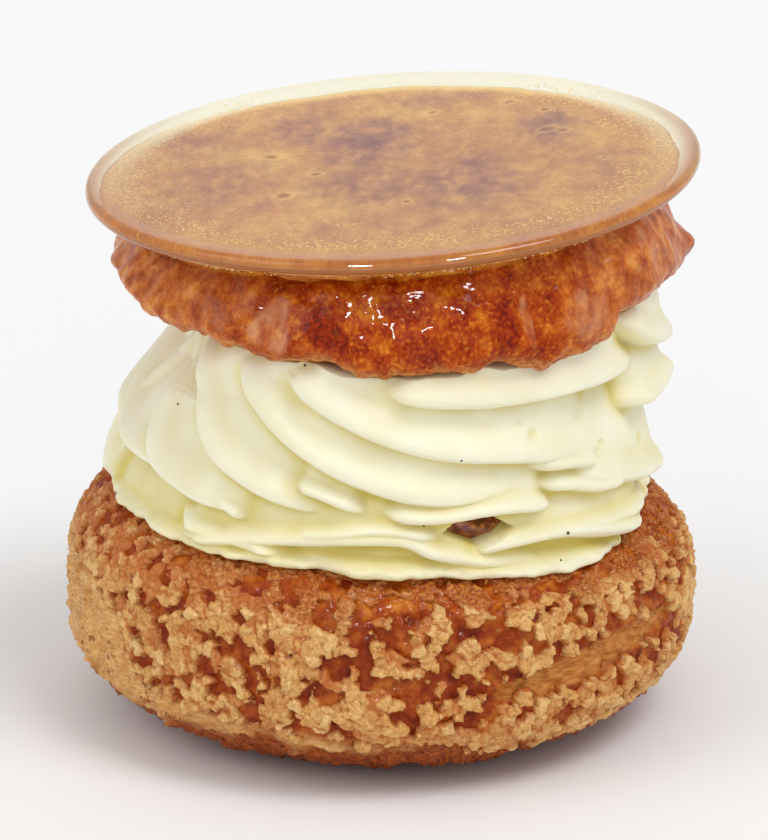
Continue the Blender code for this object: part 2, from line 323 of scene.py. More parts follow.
def place_camera():
    camera = add_object("camera", bpy.data.cameras.new("camera"))
    rise = math.radians(CAMERA_RISE)
    back, up = CAMERA_DISTANCE * math.cos(rise), CAMERA_DISTANCE * math.sin(rise)
    camera.location = Vector((0.0, -back, CAMERA_TARGET_HEIGHT + up)) * MM
    camera.rotation_euler = (math.radians(90.0) - rise, 0.0, 0.0)
    camera.data.lens = CAMERA_LENS
    camera.data.clip_start = CAMERA_NEAREST
    bpy.context.scene.camera = camera


place_camera()
print("camera at", [round(value, 3) for value in bpy.context.scene.camera.location])

# %% [markdown]
# Under the cake lies a sweep of white paper. One big flat face is enough: it is wide enough
# that its far edge never shows, and a hint of cloudiness keeps it from looking like plastic.

# %% Lay the floor
FLOOR_HALF = 6.0
FLOOR_CLOUD = 400.0
FLOOR_TONES = ((0.3, (243, 243, 244)), (0.7, (245, 245, 246)))


def lay_floor():
    bm = bmesh.new()
    bmesh.ops.create_grid(bm, x_segments=1, y_segments=1, size=FLOOR_HALF)
    mesh = bpy.data.meshes.new("floor")
    bm.to_mesh(mesh)
    bm.free()
    floor = add_object("floor", mesh)
    paper = Finish("white_sweep", 0.7)
    paper.use("Base Color", paper.ramp(paper.grain(FLOOR_CLOUD, 1.0), *FLOOR_TONES))
    paper.put_on(floor)


lay_floor()
print("floor:", 2 * FLOOR_HALF, "m wide")

# %% [markdown]
# A bright sky and three soft suns do the work of a studio's light boxes: their light is even
# over the whole floor, and their wide angle keeps the shadows soft. Caramel also needs hard
# little reflections, so two small lamps hang close by. They are hidden from diffuse light:
# they make glints on what is wet or glassy and change nothing else.

# %% Hang the lights
SKY_STRENGTH = 0.63
SUNS = (("key_from_above_right", 52, 57, 1.10, 28), ("fill_from_front", 4, 34, 0.18, 38),
        ("fill_from_left", -66, 38, 0.56, 42))
SPARKS = (("spark_left", -16, 33), ("spark_right", 19, 30))
SPARK_SIZE, SPARK_DISTANCE, SPARK_POWER = 0.06, 0.45, 0.66
SPARK_AIM_HEIGHT = 0.05


def turn_to(lamp, bearing, rise):
    """Turns a lamp to shine from a bearing and a rise, and gives the direction to it."""
    x, y = at_bearing(bearing, math.cos(math.radians(rise)))
    away = Vector((x, y, math.sin(math.radians(rise))))
    lamp.rotation_euler = away.to_track_quat("Z", "Y").to_euler()
    return away


def hang_sun(name, bearing, rise, strength, spread):
    light = bpy.data.lights.new(name, "SUN")
    light.energy = strength
    light.angle = math.radians(spread)
    turn_to(add_object(name, light), bearing, rise)


def hang_spark(name, bearing, rise):
    """A small lamp close by that only makes sharp glints on what is wet or glassy."""
    light = bpy.data.lights.new(name, "AREA")
    light.shape = "DISK"
    light.size = SPARK_SIZE
    light.energy = SPARK_POWER
    lamp = add_object(name, light)
    lamp.location = turn_to(lamp, bearing, rise) * SPARK_DISTANCE
    lamp.location.z += SPARK_AIM_HEIGHT
    lamp.visible_diffuse = False


world = bpy.data.worlds.new("studio")
bpy.context.scene.world = world
world.use_nodes = True
sky = world.node_tree.nodes["Background"]
sky.inputs["Color"].default_value = (1.0, 1.0, 1.0, 1.0)
sky.inputs["Strength"].default_value = SKY_STRENGTH
for sun in SUNS:
    hang_sun(*sun)
for spark in SPARKS:
    hang_spark(*spark)
bpy.context.scene.view_settings.view_transform = "Standard"
bpy.context.scene.view_settings.look = "None"
print("lights:", len(bpy.data.lights))

# %% [markdown]
# The bottom bun is choux pastry: a ball of dough that puffs up, squares off on its sides and
# keeps a small flat spot where it stood on the tray. It could be sculpted, but a formula for
# its outline, from the cut face round the shoulder and belly to the underside, keeps the
# surface exactly where the solid model has it. The crust rides on this shape.

# %% The bottom bun's form
BUN_RADIUS = 37.2
BUN_BELLY_LOW = 12.2
BUN_BELLY_HIGH = 16.0
BUN_FLAT_RADIUS = 17.0
BUN_CUT_RADIUS = 30.0
BUN_CUT_HEIGHT = 27.1
BUN_CUT_SLOPE = -0.052
BUN_SHOULDER_POWER = 2.5
BUN_UNEVENNESS = ((0.6, 14.0, 3, 1),)
BUN_BULGES = ((0.9, -85, 50),)
BELLY_START, BELLY_END = 0.42, 0.5


def cut_plane(x):
    return BUN_CUT_HEIGHT + BUN_CUT_SLOPE * x


def bun_surface(bearing, down):
    """Points of the bun's side: down runs from 0 at the cut face's rim to 1 at the flat spot."""
    shoulder = down < BELLY_START
    belly = np.clip((down - BELLY_START) / (BELLY_END - BELLY_START), 0.0, 1.0)
    above = np.maximum(0.0, 1.0 - down / BELLY_START)
    below = np.maximum(0.0, (down - BELLY_END) / (1.0 - BELLY_END))
    turn = np.radians(90.0 * np.where(shoulder, above, below))
    power = 2.0 / BUN_SHOULDER_POWER
    upper = BUN_CUT_RADIUS + (BUN_RADIUS - BUN_CUT_RADIUS) * np.cos(turn) ** power
    lower = BUN_FLAT_RADIUS + (BUN_RADIUS - BUN_FLAT_RADIUS) * np.cos(turn)
    radius = np.where(shoulder, upper, lower)
    rise = cut_plane(at_bearing(bearing, radius)[0]) - BUN_BELLY_HIGH
    height = np.where(shoulder, BUN_BELLY_HIGH + rise * np.sin(turn) ** power,
                      BUN_BELLY_LOW * (1.0 - np.sin(turn)))
    height = height + (BUN_BELLY_HIGH - BUN_BELLY_LOW) * (1.0 - belly) * (~shoulder)
    uneven = layered(space_points(bearing, radius, height), BUN_UNEVENNESS)
    radius = radius + np.sin(np.pi * down) * (uneven + bumps(bearing, BUN_BULGES))
    return space_points(bearing, radius, height)


print("cut face:", round(cut_plane(-BUN_CUT_RADIUS), 1), "mm high at the left,",
      round(cut_plane(BUN_CUT_RADIUS), 1), "at the right")

# %% [markdown]
# Before baking, a sheet of sugary shortcrust is laid on the dough. As the choux swells the
# sheet tears into little islands of pale, sandy crumb, and glossy red-brown pastry shows in
# the cracks. One map by bearing and height could be painted, but a few rules hold all round:
# crumb ends at a lower edge that wanders, and one long tear runs across the right.

# %% Where the crust is bare or torn
CRUST_EDGE = ((-180, 9.5), (-130, 10.5), (-100, 16.0), (-84, 22.5), (-66, 21.0), (-57, 18.0),
              (-51, 12.0), (-42, 9.6), (-30, 9.2), (-12, 8.2), (5, 7.0), (24, 5.2), (45, 5.0),
              (62, 6.5), (80, 8.5), (120, 8.5), (180, 9.5))
TEAR_START, TEAR_END = 20.0, 66.0
TEAR_MIDDLE_HEIGHT, TEAR_MIDDLE_BEARING = 14.6, 40.0
TEAR_RISE = 0.085
TEAR_HALF_HEIGHT = 2.1
TEAR_EDGE = (0.75, 1.1)


def crust_lower_edge(bearing):
    bearings, heights = np.array(CRUST_EDGE).T
    return np.interp(bearing, bearings, heights)


def in_tear(bearing, height):
    """1 inside the smooth stretch where the crust tore open, 0 outside it."""
    along = np.clip((bearing - TEAR_START) / (TEAR_END - TEAR_START), 0.0, 1.0)
    half = TEAR_HALF_HEIGHT * np.sqrt(4.0 * along * (1.0 - along)) + 1e-3
    middle = TEAR_MIDDLE_HEIGHT + TEAR_RISE * (bearing - TEAR_MIDDLE_BEARING)
    off = np.abs(height - middle) / half
    return soft_drop(off, *TEAR_EDGE) * (along > 0) * (along < 1)


print("crust ends", round(float(crust_lower_edge(0.0)), 1), "mm up at the front")

# %% [markdown]
# Islands are easiest to get from Voronoi cells: each cell is either crumb or crack, chosen by
# slow noise, and neighbouring crumbs join up into a ragged patch. Loose crumbs scattered as
# separate grains would look like gravel, and the real sheet is still mostly joined.

# %% Which cells are crumb
CRUMB_CELL, CRUMB_SEED = 1.45, 40
CELL_WARP_SIZE, CELL_WARP = 0.75, 0.42
CELL_DICE = 57.31
CRUMB_SHARE = 0.45
CRUMB_PATCHES = ((1.3, 2.8, 22, 1), (0.26, 9.0, 23, 1))
CRUMB_EDGE_STRAY = ((1.2, 5.0, 21, 1),)
CRUMB_AT_RIM, RIM_BAND = 0.06, (22.0, 25.5)
CRUMBY_SIDES = ((0.16, -62, 34),)
CRUMB_AT_FOOT, FOOT_BAND = 0.40, (0.5, 6.5)
EDGE_BAND = (-0.4, 0.4)
NO_CRUMB = 3.0


def crumb_cells(points, size, seed):
    """Each point's Voronoi cell: how deep inside it, a random number, and its middle."""
    shifts = [lumps(points, size * CELL_WARP_SIZE, seed + k) for k in (1, 2, 3)]
    warp = np.stack(shifts, axis=-1) * size * CELL_WARP
    warped = (points + warp).reshape(-1, 3) / size
    depth, chance, middles = [], [], []
    for place in warped.tolist():
        distances, nearest = noise.voronoi(place)
        depth.append(distances[1] - distances[0])
        chance.append(noise.cell(nearest[0] * CELL_DICE))
        middles.append(nearest[0])
    shape = points.shape[:-1]
    middles = np.array(middles).reshape(*shape, 3) * size
    return np.array(depth).reshape(shape), np.array(chance).reshape(shape), middles


def crumbliness(points, bearing):
    """How much of the crust is crumb rather than crack here; negative where it is bare."""
    height = points[..., 2]
    above = height - crust_lower_edge(bearing) - layered(points, CRUMB_EDGE_STRAY)
    value = CRUMB_SHARE + layered(points, CRUMB_PATCHES)
    value += CRUMB_AT_RIM * soft_step(height, *RIM_BAND)
    value += bumps(bearing, CRUMBY_SIDES)
    value += CRUMB_AT_FOOT * soft_drop(above, *FOOT_BAND)
    value -= NO_CRUMB * soft_drop(above, *EDGE_BAND)
    return value - NO_CRUMB * in_tear(bearing, height)


print("crumbs are about", CRUMB_CELL, "mm across")

# %% [markdown]
# Choux, crumb, cream and lid all start in the same way: a grid of bearings and of steps down
# the side. A formula turns the grid into rings, and smaller rings, laid on a plane, close it
# at both ends. Two helpers make the grid and the closing rings.

# %% Helpers: sheets round a form
def all_round(columns):
    return np.linspace(-180.0, 180.0, columns, endpoint=False)


def side_grid(columns, rows, start=0.0, end=1.0):
    """Bearings and downs of a sheet of rings round a form."""
    return np.meshgrid(all_round(columns), np.linspace(start, end, rows))


def disc_rings(edge, height_at, shares):
    """Rings that close a form: from its edge ring towards the middle, or the other way."""
    centre = edge.mean(axis=0)
    rings = []
    for share in shares:
        ring = centre + (edge - centre) * share
        ring[:, 2] = height_at(ring[:, 0], ring[:, 1])
        rings.append(ring)
    return np.array(rings)


print("a grid of 4 bearings by 2 steps:", side_grid(4, 2)[0].shape)

# %% [markdown]
# The choux itself lies a little below the crumbs. It is one closed form with fine wrinkles,
# and it remembers where it is bare, where it is torn and how high it is, so that one finish
# can go from tan skin to red-brown gloss in the cracks and a darker baked foot.

# %% Make the choux of the bottom bun
CHOUX_COLUMNS, CHOUX_ROWS = 560, 136
CRACK_DEPTH, BARE_SPARED, TEAR_DEPTH = 0.45, 0.8, 0.5
TOP_FADE, FOOT_FADE = (0.0, 0.05), (0.93, 1.0)
SKIN_LUMPS, TORN_WRINKLES = ((0.30, 2.6, 31, 2), (0.38, 0.9, 32, 1)), 0.5
SKIN_WRINKLES = ((0.60, 3.0, 33, 2), (0.36, 1.3, 34, 1))
WRINKLE_SQUEEZE = np.array([1.0, 1.0, 3.2])
FACE_SHARES, FOOT_SHARES = (0.0001, 0.3, 0.6, 0.9), (0.9, 0.5, 0.2)
BARE_BAND = (-1.0, 0.6)
BAKED_STRAY, BAKED_BAND = ((3.5, 5.0, 35, 2),), (5.0, 9.0)
GOLDEN_SHARE, GOLDEN_BAND = 0.8, (20.0, 25.0)
PALE_LEFT, PALE_LEFT_SHARE = (-66, 38), 0.55

bearing, down = side_grid(CHOUX_COLUMNS, CHOUX_ROWS)
rings = bun_surface(bearing, down)
height = rings[..., 2]
torn = in_tear(bearing, height)
bare = soft_drop(height - crust_lower_edge(bearing), *BARE_BAND)
skin = layered(rings, SKIN_LUMPS)
skin += (bare + TORN_WRINKLES * torn) * layered(rings * WRINKLE_SQUEEZE, SKIN_WRINKLES)
sink = -CRACK_DEPTH * (1.0 - BARE_SPARED * bare) - TEAR_DEPTH * torn
fade = soft_step(down, *TOP_FADE) * soft_drop(down, *FOOT_FADE)
rings = rings + outward(rings) * ((skin + sink) * fade)[..., None]
face = disc_rings(rings[0], lambda x, y: cut_plane(x), FACE_SHARES)
foot = disc_rings(rings[-1], lambda x, y: 0.0 * x, FOOT_SHARES)
choux = closed_form("choux_bun", np.concatenate([face, rings, foot]))
baked = soft_drop(height + layered(rings, BAKED_STRAY), *BAKED_BAND)
pale_left = 1.0 - PALE_LEFT_SHARE * bump(bearing, *PALE_LEFT)
golden = GOLDEN_SHARE * soft_step(height, *GOLDEN_BAND) * pale_left
remember(choux, (len(face), len(foot)), bare=bare, torn=torn, baked=baked, golden=golden)
set_in_place(choux, "bun_base")

# %% [markdown]
# Baked choux is glossy red-brown where butter and sugar ran into the cracks, tan and faintly
# fibrous where it is bare, and darkest at the foot, which stood on the tray. One shader can
# be all of these: each stored number fades in its own colours over the last.

# %% The choux's finish
def choux_finish():
    finish = Finish("baked_choux", 0.42, Coat_Weight=0.16, Coat_Roughness=0.1,
                    Specular_IOR_Level=0.05)
    mottle = finish.grain(2.4, 4.0, 0.6)
    fine = finish.grain(0.5, 3.0)
    crack = finish.ramp(mottle, (0.30, (104, 26, 6)), (0.5, (148, 56, 12)),
                        (0.72, (198, 114, 40)))
    skin = finish.ramp(mottle, (0.3, (188, 122, 60)), (0.55, (222, 170, 102)),
                       (0.75, (241, 200, 134)))
    fibre = finish.grain(1.1, 4.0, 0.65, (1.0, 1.0, 3.6))
    fibres = finish.ramp(fibre, (0.32, (170, 100, 42)), (0.5, (216, 160, 94)),
                         (0.68, (243, 208, 146)))
    skin = finish.blend(0.5, skin, fibres)
    streak = finish.ramp(finish.grain(1.3, 3.0, 0.6, (1.0, 1.0, 3.0)),
                         (0.35, (172, 96, 36)), (0.65, (206, 142, 72)))
    colour = finish.where("bare", crack, skin)
    colour = finish.where("torn", colour, streak)
    foot = finish.ramp(fine, (0.34, (102, 34, 6)), (0.62, (170, 84, 28)))
    colour = finish.where("baked", colour, foot)
    scorch = finish.spread(finish.grain(1.5, 3.0, 0.6), 0.0, 0.8, 0.60, 0.68)
    scorch = finish.where("bare", (0, 0, 0), scorch)
    colour = finish.blend(scorch, colour, (140, 58, 18))
    golden = finish.ramp(mottle, (0.32, (128, 34, 0)), (0.52, (170, 76, 10)),
                         (0.7, (206, 124, 38)))
    colour = finish.where("golden", colour, golden)
    finish.use("Base Color", colour)
    finish.relief((fine, 0.2), (finish.grain(0.22, 2.0), 0.06))
    return finish


choux_finish().put_on(choux)

# %% [markdown]
# The crumb islands are a second sheet over the choux, fine enough to give each patch a flat
# top, ragged sides and small creases between joined crumbs. Where a cell is crack the sheet
# would lie hidden inside the choux, so those faces are left out. The shoulder is a band of
# its own, thinner, because there the cream's butter has soaked the crumb.

# %% Make the crumb islands and the fine crumb of the shoulder
CRUMB_COLUMNS = 960
ISLAND_ROWS, ISLAND_SPAN = 122, (0.265, 0.84)
SHOULDER_ROWS, SHOULDER_SPAN = 62, (0.03, 0.27)
ISLAND_HEIGHT = 0.85
ISLAND_EDGE = 0.20
ISLAND_DICE = 0.55
ISLAND_RIM = 0.30
CELL_DOME, CELL_HEIGHTS, RIM_HEIGHTS = (0.74, 1.0), (0.84, 1.10), (0.6, 1.0)
SHOULDER_THINS, SHOULDER_BAND = 0.5, (21.0, 25.5)
CRUMB_GRAIN = ((0.16, 1.1, 45, 1), (0.26, 0.5, 46, 1))
HIDDEN_UNDER, SHEET_FADE = -0.35, (0.02, 0.05)
AMBER_STRAY, AMBER_BAND, AMBER_SPARES_LEFT = ((3.0, 4.0, 47, 1),), (20.5, 26.0), 0.95
TOAST_BAND = (0.2, 0.75)


def crumb_sheet(name, rows, span):
    """A sheet of joined crumbs over a band of the bun's side."""
    bearing, down = side_grid(CRUMB_COLUMNS, rows, *span)
    surface = bun_surface(bearing, down)
    height = surface[..., 2]
    depth, chance, middles = crumb_cells(surface, CRUMB_CELL, CRUMB_SEED)
    likely = crumbliness(middles, bearing) + ISLAND_DICE * (chance - 0.5)
    crumb = likely > 0
    inside = soft_step(depth, 0.0, ISLAND_EDGE)
    relief = ISLAND_HEIGHT * between(inside, *CELL_DOME) * between(chance, *CELL_HEIGHTS)
    relief *= between(soft_step(likely, 0.0, ISLAND_RIM), *RIM_HEIGHTS)
    relief *= 1.0 - SHOULDER_THINS * soft_step(height, *SHOULDER_BAND)
    relief += layered(surface, CRUMB_GRAIN)
    lift = np.where(crumb, relief, HIDDEN_UNDER) * soft_step(down, *SHEET_FADE) - CRACK_DEPTH
    points = surface + outward(surface) * lift[..., None]
    quads = ring_faces(rows, CRUMB_COLUMNS)
    shown = crumb.ravel()[quads].any(axis=1)
    used, renumbered = np.unique(quads[shown], return_inverse=True)
    piece = mesh_object(name, points.reshape(-1, 3)[used], renumbered.reshape(-1, 4).tolist())
    amber = soft_step(height + layered(surface, AMBER_STRAY), *AMBER_BAND)
    amber *= 1.0 - AMBER_SPARES_LEFT * bump(bearing, *PALE_LEFT)
    # Painted shade: high where the crumb sits low, so that the finish darkens it there.
    toast = soft_drop(relief, *TOAST_BAND)
    kept = {"crumb": crumb * inside, "toast": toast, "amber": amber, "paleness": chance}
    remember(piece, **{name: values.ravel()[used] for name, values in kept.items()})
    print(name, "covers", round(100 * crumb.mean()), "% of its band")
    set_in_place(piece, "bun_base")
    return piece


islands = crumb_sheet("crumb_islands", ISLAND_ROWS, ISLAND_SPAN)
shoulder_crumb = crumb_sheet("shoulder_crumb", SHOULDER_ROWS, SHOULDER_SPAN)

# %% [markdown]
# Sugar crumb is pale and sandy. A painted shade, a darker orange, lies where it sits low at
# the islands' edges and in the creases between crumbs. Near the cream it is soaked and turns
# amber. Two grains of noise, a coarse and a fine one, keep any patch from being one colour,
# and a little subsurface light softens it.

# %% The crumb's finish
def crumb_finish():
    finish = Finish("sandy_crumb", 0.5, Coat_Weight=0.2, Coat_Roughness=0.15,
                    Specular_IOR_Level=0.12, Subsurface_Weight=0.12,
                    Subsurface_Scale=0.5 * MM)
    mottle = finish.grain(1.6, 3.0, 0.6)
    fine = finish.grain(0.4, 3.0)
    sandy = finish.ramp(mottle, (0.30, (192, 134, 66)), (0.5, (216, 168, 98)),
                        (0.70, (236, 200, 134)))
    toasted = finish.ramp(fine, (0.32, (178, 94, 34)), (0.5, (216, 152, 80)),
                          (0.68, (244, 206, 142)))
    colour = finish.blend(0.45, sandy, toasted)
    grain_tone = finish.ramp(finish.kept("paleness"), (0.0, (188, 118, 54)),
                             (0.5, (218, 162, 88)), (1.0, (248, 218, 154)))
    colour = finish.blend(0.28, colour, grain_tone)
    # Painted shade: a darker orange where the crumb sits low and in the creases between crumbs.
    colour = finish.where("toast", colour, (188, 92, 28), 0.75)
    crease = finish.spread(finish.kept("crumb"), 0.8, 0.0, 0.0, 0.4)
    colour = finish.blend(crease, colour, (184, 96, 34))
    warm = finish.ramp(fine, (0.30, (122, 42, 2)), (0.5, (168, 80, 16)), (0.70, (216, 146, 60)))
    colour = finish.where("amber", colour, warm, 0.85)
    finish.use("Base Color", colour)
    finish.relief((fine, 0.22), (finish.grain(0.16, 2.0), 0.06))
    return finish


sandy_crumb = crumb_finish()
for piece in (islands, shoulder_crumb):
    sandy_crumb.put_on(piece)

# %% [markdown]
# The lid and the disc lean a few degrees to the front and the left, as they settled on the
# soft cream. The solid model says exactly how, so the same planes are worked out here once
# and shared by the cream's top, the lid and the disc. Typing them again in each step would
# sooner or later leave a gap between two pieces.

# %% The planes that the upper pieces share
GAP = 0.3
DISC_THICKNESS = 1.8
DISC_CENTRE_X = 1.1
DISC_CENTRE_HEIGHT = 66.7
DISC_SLOPE_X = 0.064
DISC_SLOPE_Y = 0.053
LID_CENTRE_X = 1.5
LID_UNDER_HEIGHT = 52.6
LID_UNDER_SLOPE = 0.055
LID_UNDER_RADIUS = 32.6
LID_CURLS, CURL_POWER = ((2.2, 66, 20), (0.8, -75, 30)), 4


def disc_plane(x, y):
    return DISC_CENTRE_HEIGHT + DISC_SLOPE_X * (x - DISC_CENTRE_X) + DISC_SLOPE_Y * y


def lid_top(x, y):
    return disc_plane(x, y) - DISC_THICKNESS / 2 - GAP


def lid_under(x, y):
    """The lid's underside: nearly flat, with its rim curled up in two places."""
    out = np.minimum(1.0, np.hypot(x - LID_CENTRE_X, y) / LID_UNDER_RADIUS)
    curl = bumps(bearing_of(x - LID_CENTRE_X, y), LID_CURLS)
    return LID_UNDER_HEIGHT + LID_UNDER_SLOPE * y + curl * out ** CURL_POWER


print("room for the lid in the middle:", round(lid_top(0.0, 0.0) - lid_under(0.0, 0.0), 1), "mm")

# %% [markdown]
# The lid was torn rather than cut off, so its lower edge hangs in rags. Both the lid and the
# cream under it need that edge: the cream bulges up wherever the edge is lifted. A short list
# of heights by bearing gives the big rags, and noise adds the small ones.

# %% The lid's torn lower edge
LID_EDGE_LIFT = ((-180, 0.0), (-90, 0.8), (-73, 1.5), (-59, 0.8), (-41, 1.1), (-28, 0.7),
                 (-13, 0.9), (-3, 0.0), (5, -0.3), (12, 0.0), (18, 0.3), (25, -0.2),
                 (42, -0.7), (48.5, -0.5), (50.5, 1.7), (60, 1.2), (75, 1.1), (90, 0.3),
                 (140, -0.3), (180, 0.0))
LID_EDGE_RAGS = ((0.9, 5.0, 62, 1), (0.42, 2.2, 63, 2))


def lid_edge_hang(bearing):
    """How far the torn edge stands above the lid's underside, or hangs below it."""
    edge = space_points(bearing, LID_UNDER_RADIUS, 0.0)
    return np.interp(bearing, *np.array(LID_EDGE_LIFT).T) + layered(edge, LID_EDGE_RAGS)


edge_all_round = lid_edge_hang(np.arange(-180.0, 180.0))
print("torn edge:", round(edge_all_round.min(), 1), "to", round(edge_all_round.max(), 1), "mm")

# %% [markdown]
# The cream is whipped cream with vanilla, pushed through a nozzle in overlapping petals.
# Each petal ends in a rounded lip, and under the lip the surface steps in to the petal
# below. A cloth or fluid simulation would never land where this swirl lies, so every lip
# is a curve drawn round the cream. The back repeats one petal at even steps.

# %% The cream's petals
# Each petal: width of the face above its lip, how far the lip stands out, the share of its
# length over which its ends fade, and the lip as points of (bearing, height).
FRONT_PETALS = (
    (6.0, 1.0, 0.34, ((-66, 51), (-78, 44), (-86, 36), (-82, 30), (-66, 28))),
    (7.0, 1.2, 0.34, ((-60, 50), (-62, 43), (-57, 37), (-44, 34.6), (-30, 33.4), (-22, 31.5))),
    (6.0, 1.3, 0.34, ((-51, 53), (-46, 47), (-40, 41), (-30, 37.6), (-15, 34.8), (-2, 34.4))),
    (6.5, 1.5, 0.34, ((-37, 53), (-30, 48), (-20, 43), (-6, 38.8), (10, 36.2), (30, 36.4),
                      (44, 38))),
    (6.0, 1.9, 0.34, ((-25, 53), (-17, 48.6), (-4, 44.6), (11, 41.8), (28, 40.4), (50, 38.6),
                      (70, 39.6))),
    (5.0, 2.1, 0.34, ((-6, 50.5), (6, 48.2), (22, 47.4), (44, 47.4), (62, 47.2), (84, 44.5))),
    (5.0, 2.6, 0.34, ((52, 55), (66, 50), (84, 47.5), (100, 48))),
    (3.5, 2.3, 0.34, ((58, 42), (72, 42.6), (88, 42.4), (106, 41.4))),
    (5.0, 1.0, 0.34, ((34, 38), (48, 35.6), (66, 33), (84, 31.8), (100, 32))),
    (3.0, 1.7, 0.34, ((-6, 35.2), (8, 34.2), (22, 34.6), (33, 34.0), (40, 32))),
    (3.0, 1.3, 0.34, ((14, 28.8), (24, 30.6), (44, 30), (66, 29.2), (88, 28.6))),
    (3.2, 1.2, 0.34, ((-60, 29), (-40, 29.6), (-20, 31), (2, 31.6), (12, 29.4), (34, 27.6),
                      (60, 26.6))),
    (3.0, 0.6, 0.34, ((-110, 29.6), (-70, 29), (-30, 28.4), (10, 27.4), (50, 26.4),
                      (90, 25.8))),
    (2.6, 1.1, 0.45, ((-21, 37.6), (-15.8, 37.3), (-9.7, 36.2), (-3.8, 34.8), (0, 33.6))),
    (2.4, 1.1, 0.45, ((-38, 34.6), (-33.4, 34.0), (-29.8, 33.0), (-26, 31.8))),
    (2.6, 1.1, 0.35, ((-50, 33.0), (-42, 30.9), (-35, 30.4), (-27, 29.9), (-20, 29.2),
                      (-8, 28.4))),
    (2.6, 1.7, 0.40, ((27, 39.2), (38, 38.6), (46, 37.9), (54, 36.8))),
    (2.8, 1.4, 0.35, ((27, 36.6), (40, 35.8), (48, 34.5), (57, 33.8), (78, 31.6))),
    (2.8, 1.5, 0.25, ((15, 29.9), (25, 30.3), (38, 30.3), (57, 28.4), (84, 26.4))),
    (2.6, 1.2, 0.30, ((-26, 31.2), (-11, 32), (-1, 32.7), (8, 31.9), (17, 29.8))),
)
BACK_BANDS = (
    (3.4, 1.3, 0.34, ((80, 29), (120, 31), (160, 30), (200, 31.4), (240, 30.6), (282, 30))),
    (3.0, 0.7, 0.34, ((72, 26.2), (120, 26), (165, 27), (210, 28), (262, 29))),
)
BACK_PETAL_STARTS = (86, 118, 150, 182, 214, 246)
BACK_PETAL_SHAPE = ((0, 53), (8, 47.5), (20, 43), (36, 38.4), (54, 35.6), (74, 34.4))
BACK_PETAL_SIZE = (6.0, 1.7, 0.34)


def all_petals():
    petals = [*FRONT_PETALS, *BACK_BANDS]
    for start in BACK_PETAL_STARTS:
        path = tuple((start + along, height) for along, height in BACK_PETAL_SHAPE)
        petals.append((*BACK_PETAL_SIZE, path))
    return petals


print("petals:", len(all_petals()))

# %% [markdown]
# From a lip curve to a surface takes three steps. The curve is smoothed, each point of the
# cream finds the nearest spot on it, and the distance to that spot says how far the petal
# stands out there: a shallow flute above the lip and a steep undercut below it.

# %% From a lip curve to a petal
CREAM_RADIUS = 33.0
CREAM_CORE_DEPTH = 4.2
FLUTE_DEPTH, FLUTE_BAND = 0.66, (0.03, 0.62)
FACE_FALL = 0.22
UNDERCUT, UNDERCUT_POWER = 1.1, 2.3
START_REACH = 0.6
DROP_SHARE, ABSENT_SHARE = 0.5, 0.6


def smooth_path(points, steps=8):
    """A Catmull-Rom curve through points of (bearing, height), as length round and height."""
    corners = [np.array((math.radians(b) * CREAM_RADIUS, h)) for b, h in points]
    corners = [2 * corners[0] - corners[1], *corners, 2 * corners[-1] - corners[-2]]
    curve = []
    for before, start, end, after in zip(corners, corners[1:], corners[2:], corners[3:]):
        for t in np.arange(steps) / steps:
            curve.append(0.5 * (2 * start + (end - before) * t
                                + (2 * before - 5 * start + 4 * end - after) * t ** 2
                                + (3 * start - before - 3 * end + after) * t ** 3))
    curve.append(corners[-2])
    return np.array(curve)


def nearest_on(curve, around, height):
    """Each point's distance to a curve, its side of it, and how far along that spot is."""
    nearest = np.full(height.shape, np.inf)
    above, run = np.zeros(height.shape), np.zeros(height.shape)
    for number, (start, end) in enumerate(zip(curve[:-1], curve[1:])):
        leg = end - start
        off_x, off_z = around - start[0], height - start[1]
        share = np.clip((off_x * leg[0] + off_z * leg[1]) / (leg @ leg), 0.0, 1.0)
        distance = np.hypot(off_x - share * leg[0], off_z - share * leg[1])
        closer = distance < nearest
        nearest = np.where(closer, distance, nearest)
        above = np.where(closer, leg[0] * off_z - leg[1] * off_x, above)
        run = np.where(closer, (number + share) / (len(curve) - 1), run)
    return nearest, above, run


def petal_height(bearing, height, face, lip, fade, path):
    """How far a petal stands out of the cream's body at each point."""
    middle = (path[0][0] + path[-1][0]) / 2
    near = middle + (bearing - middle + 180.0) % 360.0 - 180.0
    around = np.radians(near) * CREAM_RADIUS
    nearest, above, run = nearest_on(smooth_path(path), around, height)
    present = soft_step(np.minimum(run / START_REACH, 1.0 - run) / fade)
    flute = FLUTE_DEPTH * soft_step(nearest / face, *FLUTE_BAND)
    flute += FACE_FALL * (nearest / face) ** 2
    drop = np.where(above >= 0, flute, (nearest / UNDERCUT) ** UNDERCUT_POWER)
    return lip * present - CREAM_CORE_DEPTH * (DROP_SHARE * drop + ABSENT_SHARE * (1.0 - present))


print("points on the first lip's curve:", len(smooth_path(FRONT_PETALS[0][-1])))

# %% [markdown]
# Under one overhanging lip at the front the petals part, and a piece of nut shows in the
# gap. The gap is a pocket pressed into the same surface, arched above and notched below,
# with its floor set well back. Small air bubbles leave a few round pits, made the same way.
# Cutting holes with a boolean would leave hard edges that whipped cream never has.

# %% Pocket and bubble pits
POCKET_BEARING, POCKET_HEIGHT = 19.2, 31.9
POCKET_HALF_WIDTH = 4.2
POCKET_ARCH, POCKET_ARCH_POWER = 2.0, 1.6
POCKET_NOTCH = 1.9
POCKET_DEPTH, POCKET_RIM = 7.0, (0.84, 1.0)
PIT_RIM = (0.2, 1.0)

# Each pit: bearing, height, radius, depth.
BUBBLE_PITS = ((31, 42.6, 1.0, 0.5), (28, 44.0, 0.55, 0.3), (-19, 50.3, 0.6, 0.3),
               (-50, 44.5, 0.4, 0.15), (52, 38.8, 0.7, 0.4), (70, 36.6, 0.9, 0.5),
               (-30, 40.5, 0.35, 0.15), (-76, 38.0, 0.45, 0.15), (140, 40.0, 0.7, 0.3),
               (205, 36.0, 0.6, 0.3), (250, 44.0, 0.5, 0.2), (178, 33.0, 0.6, 0.3))


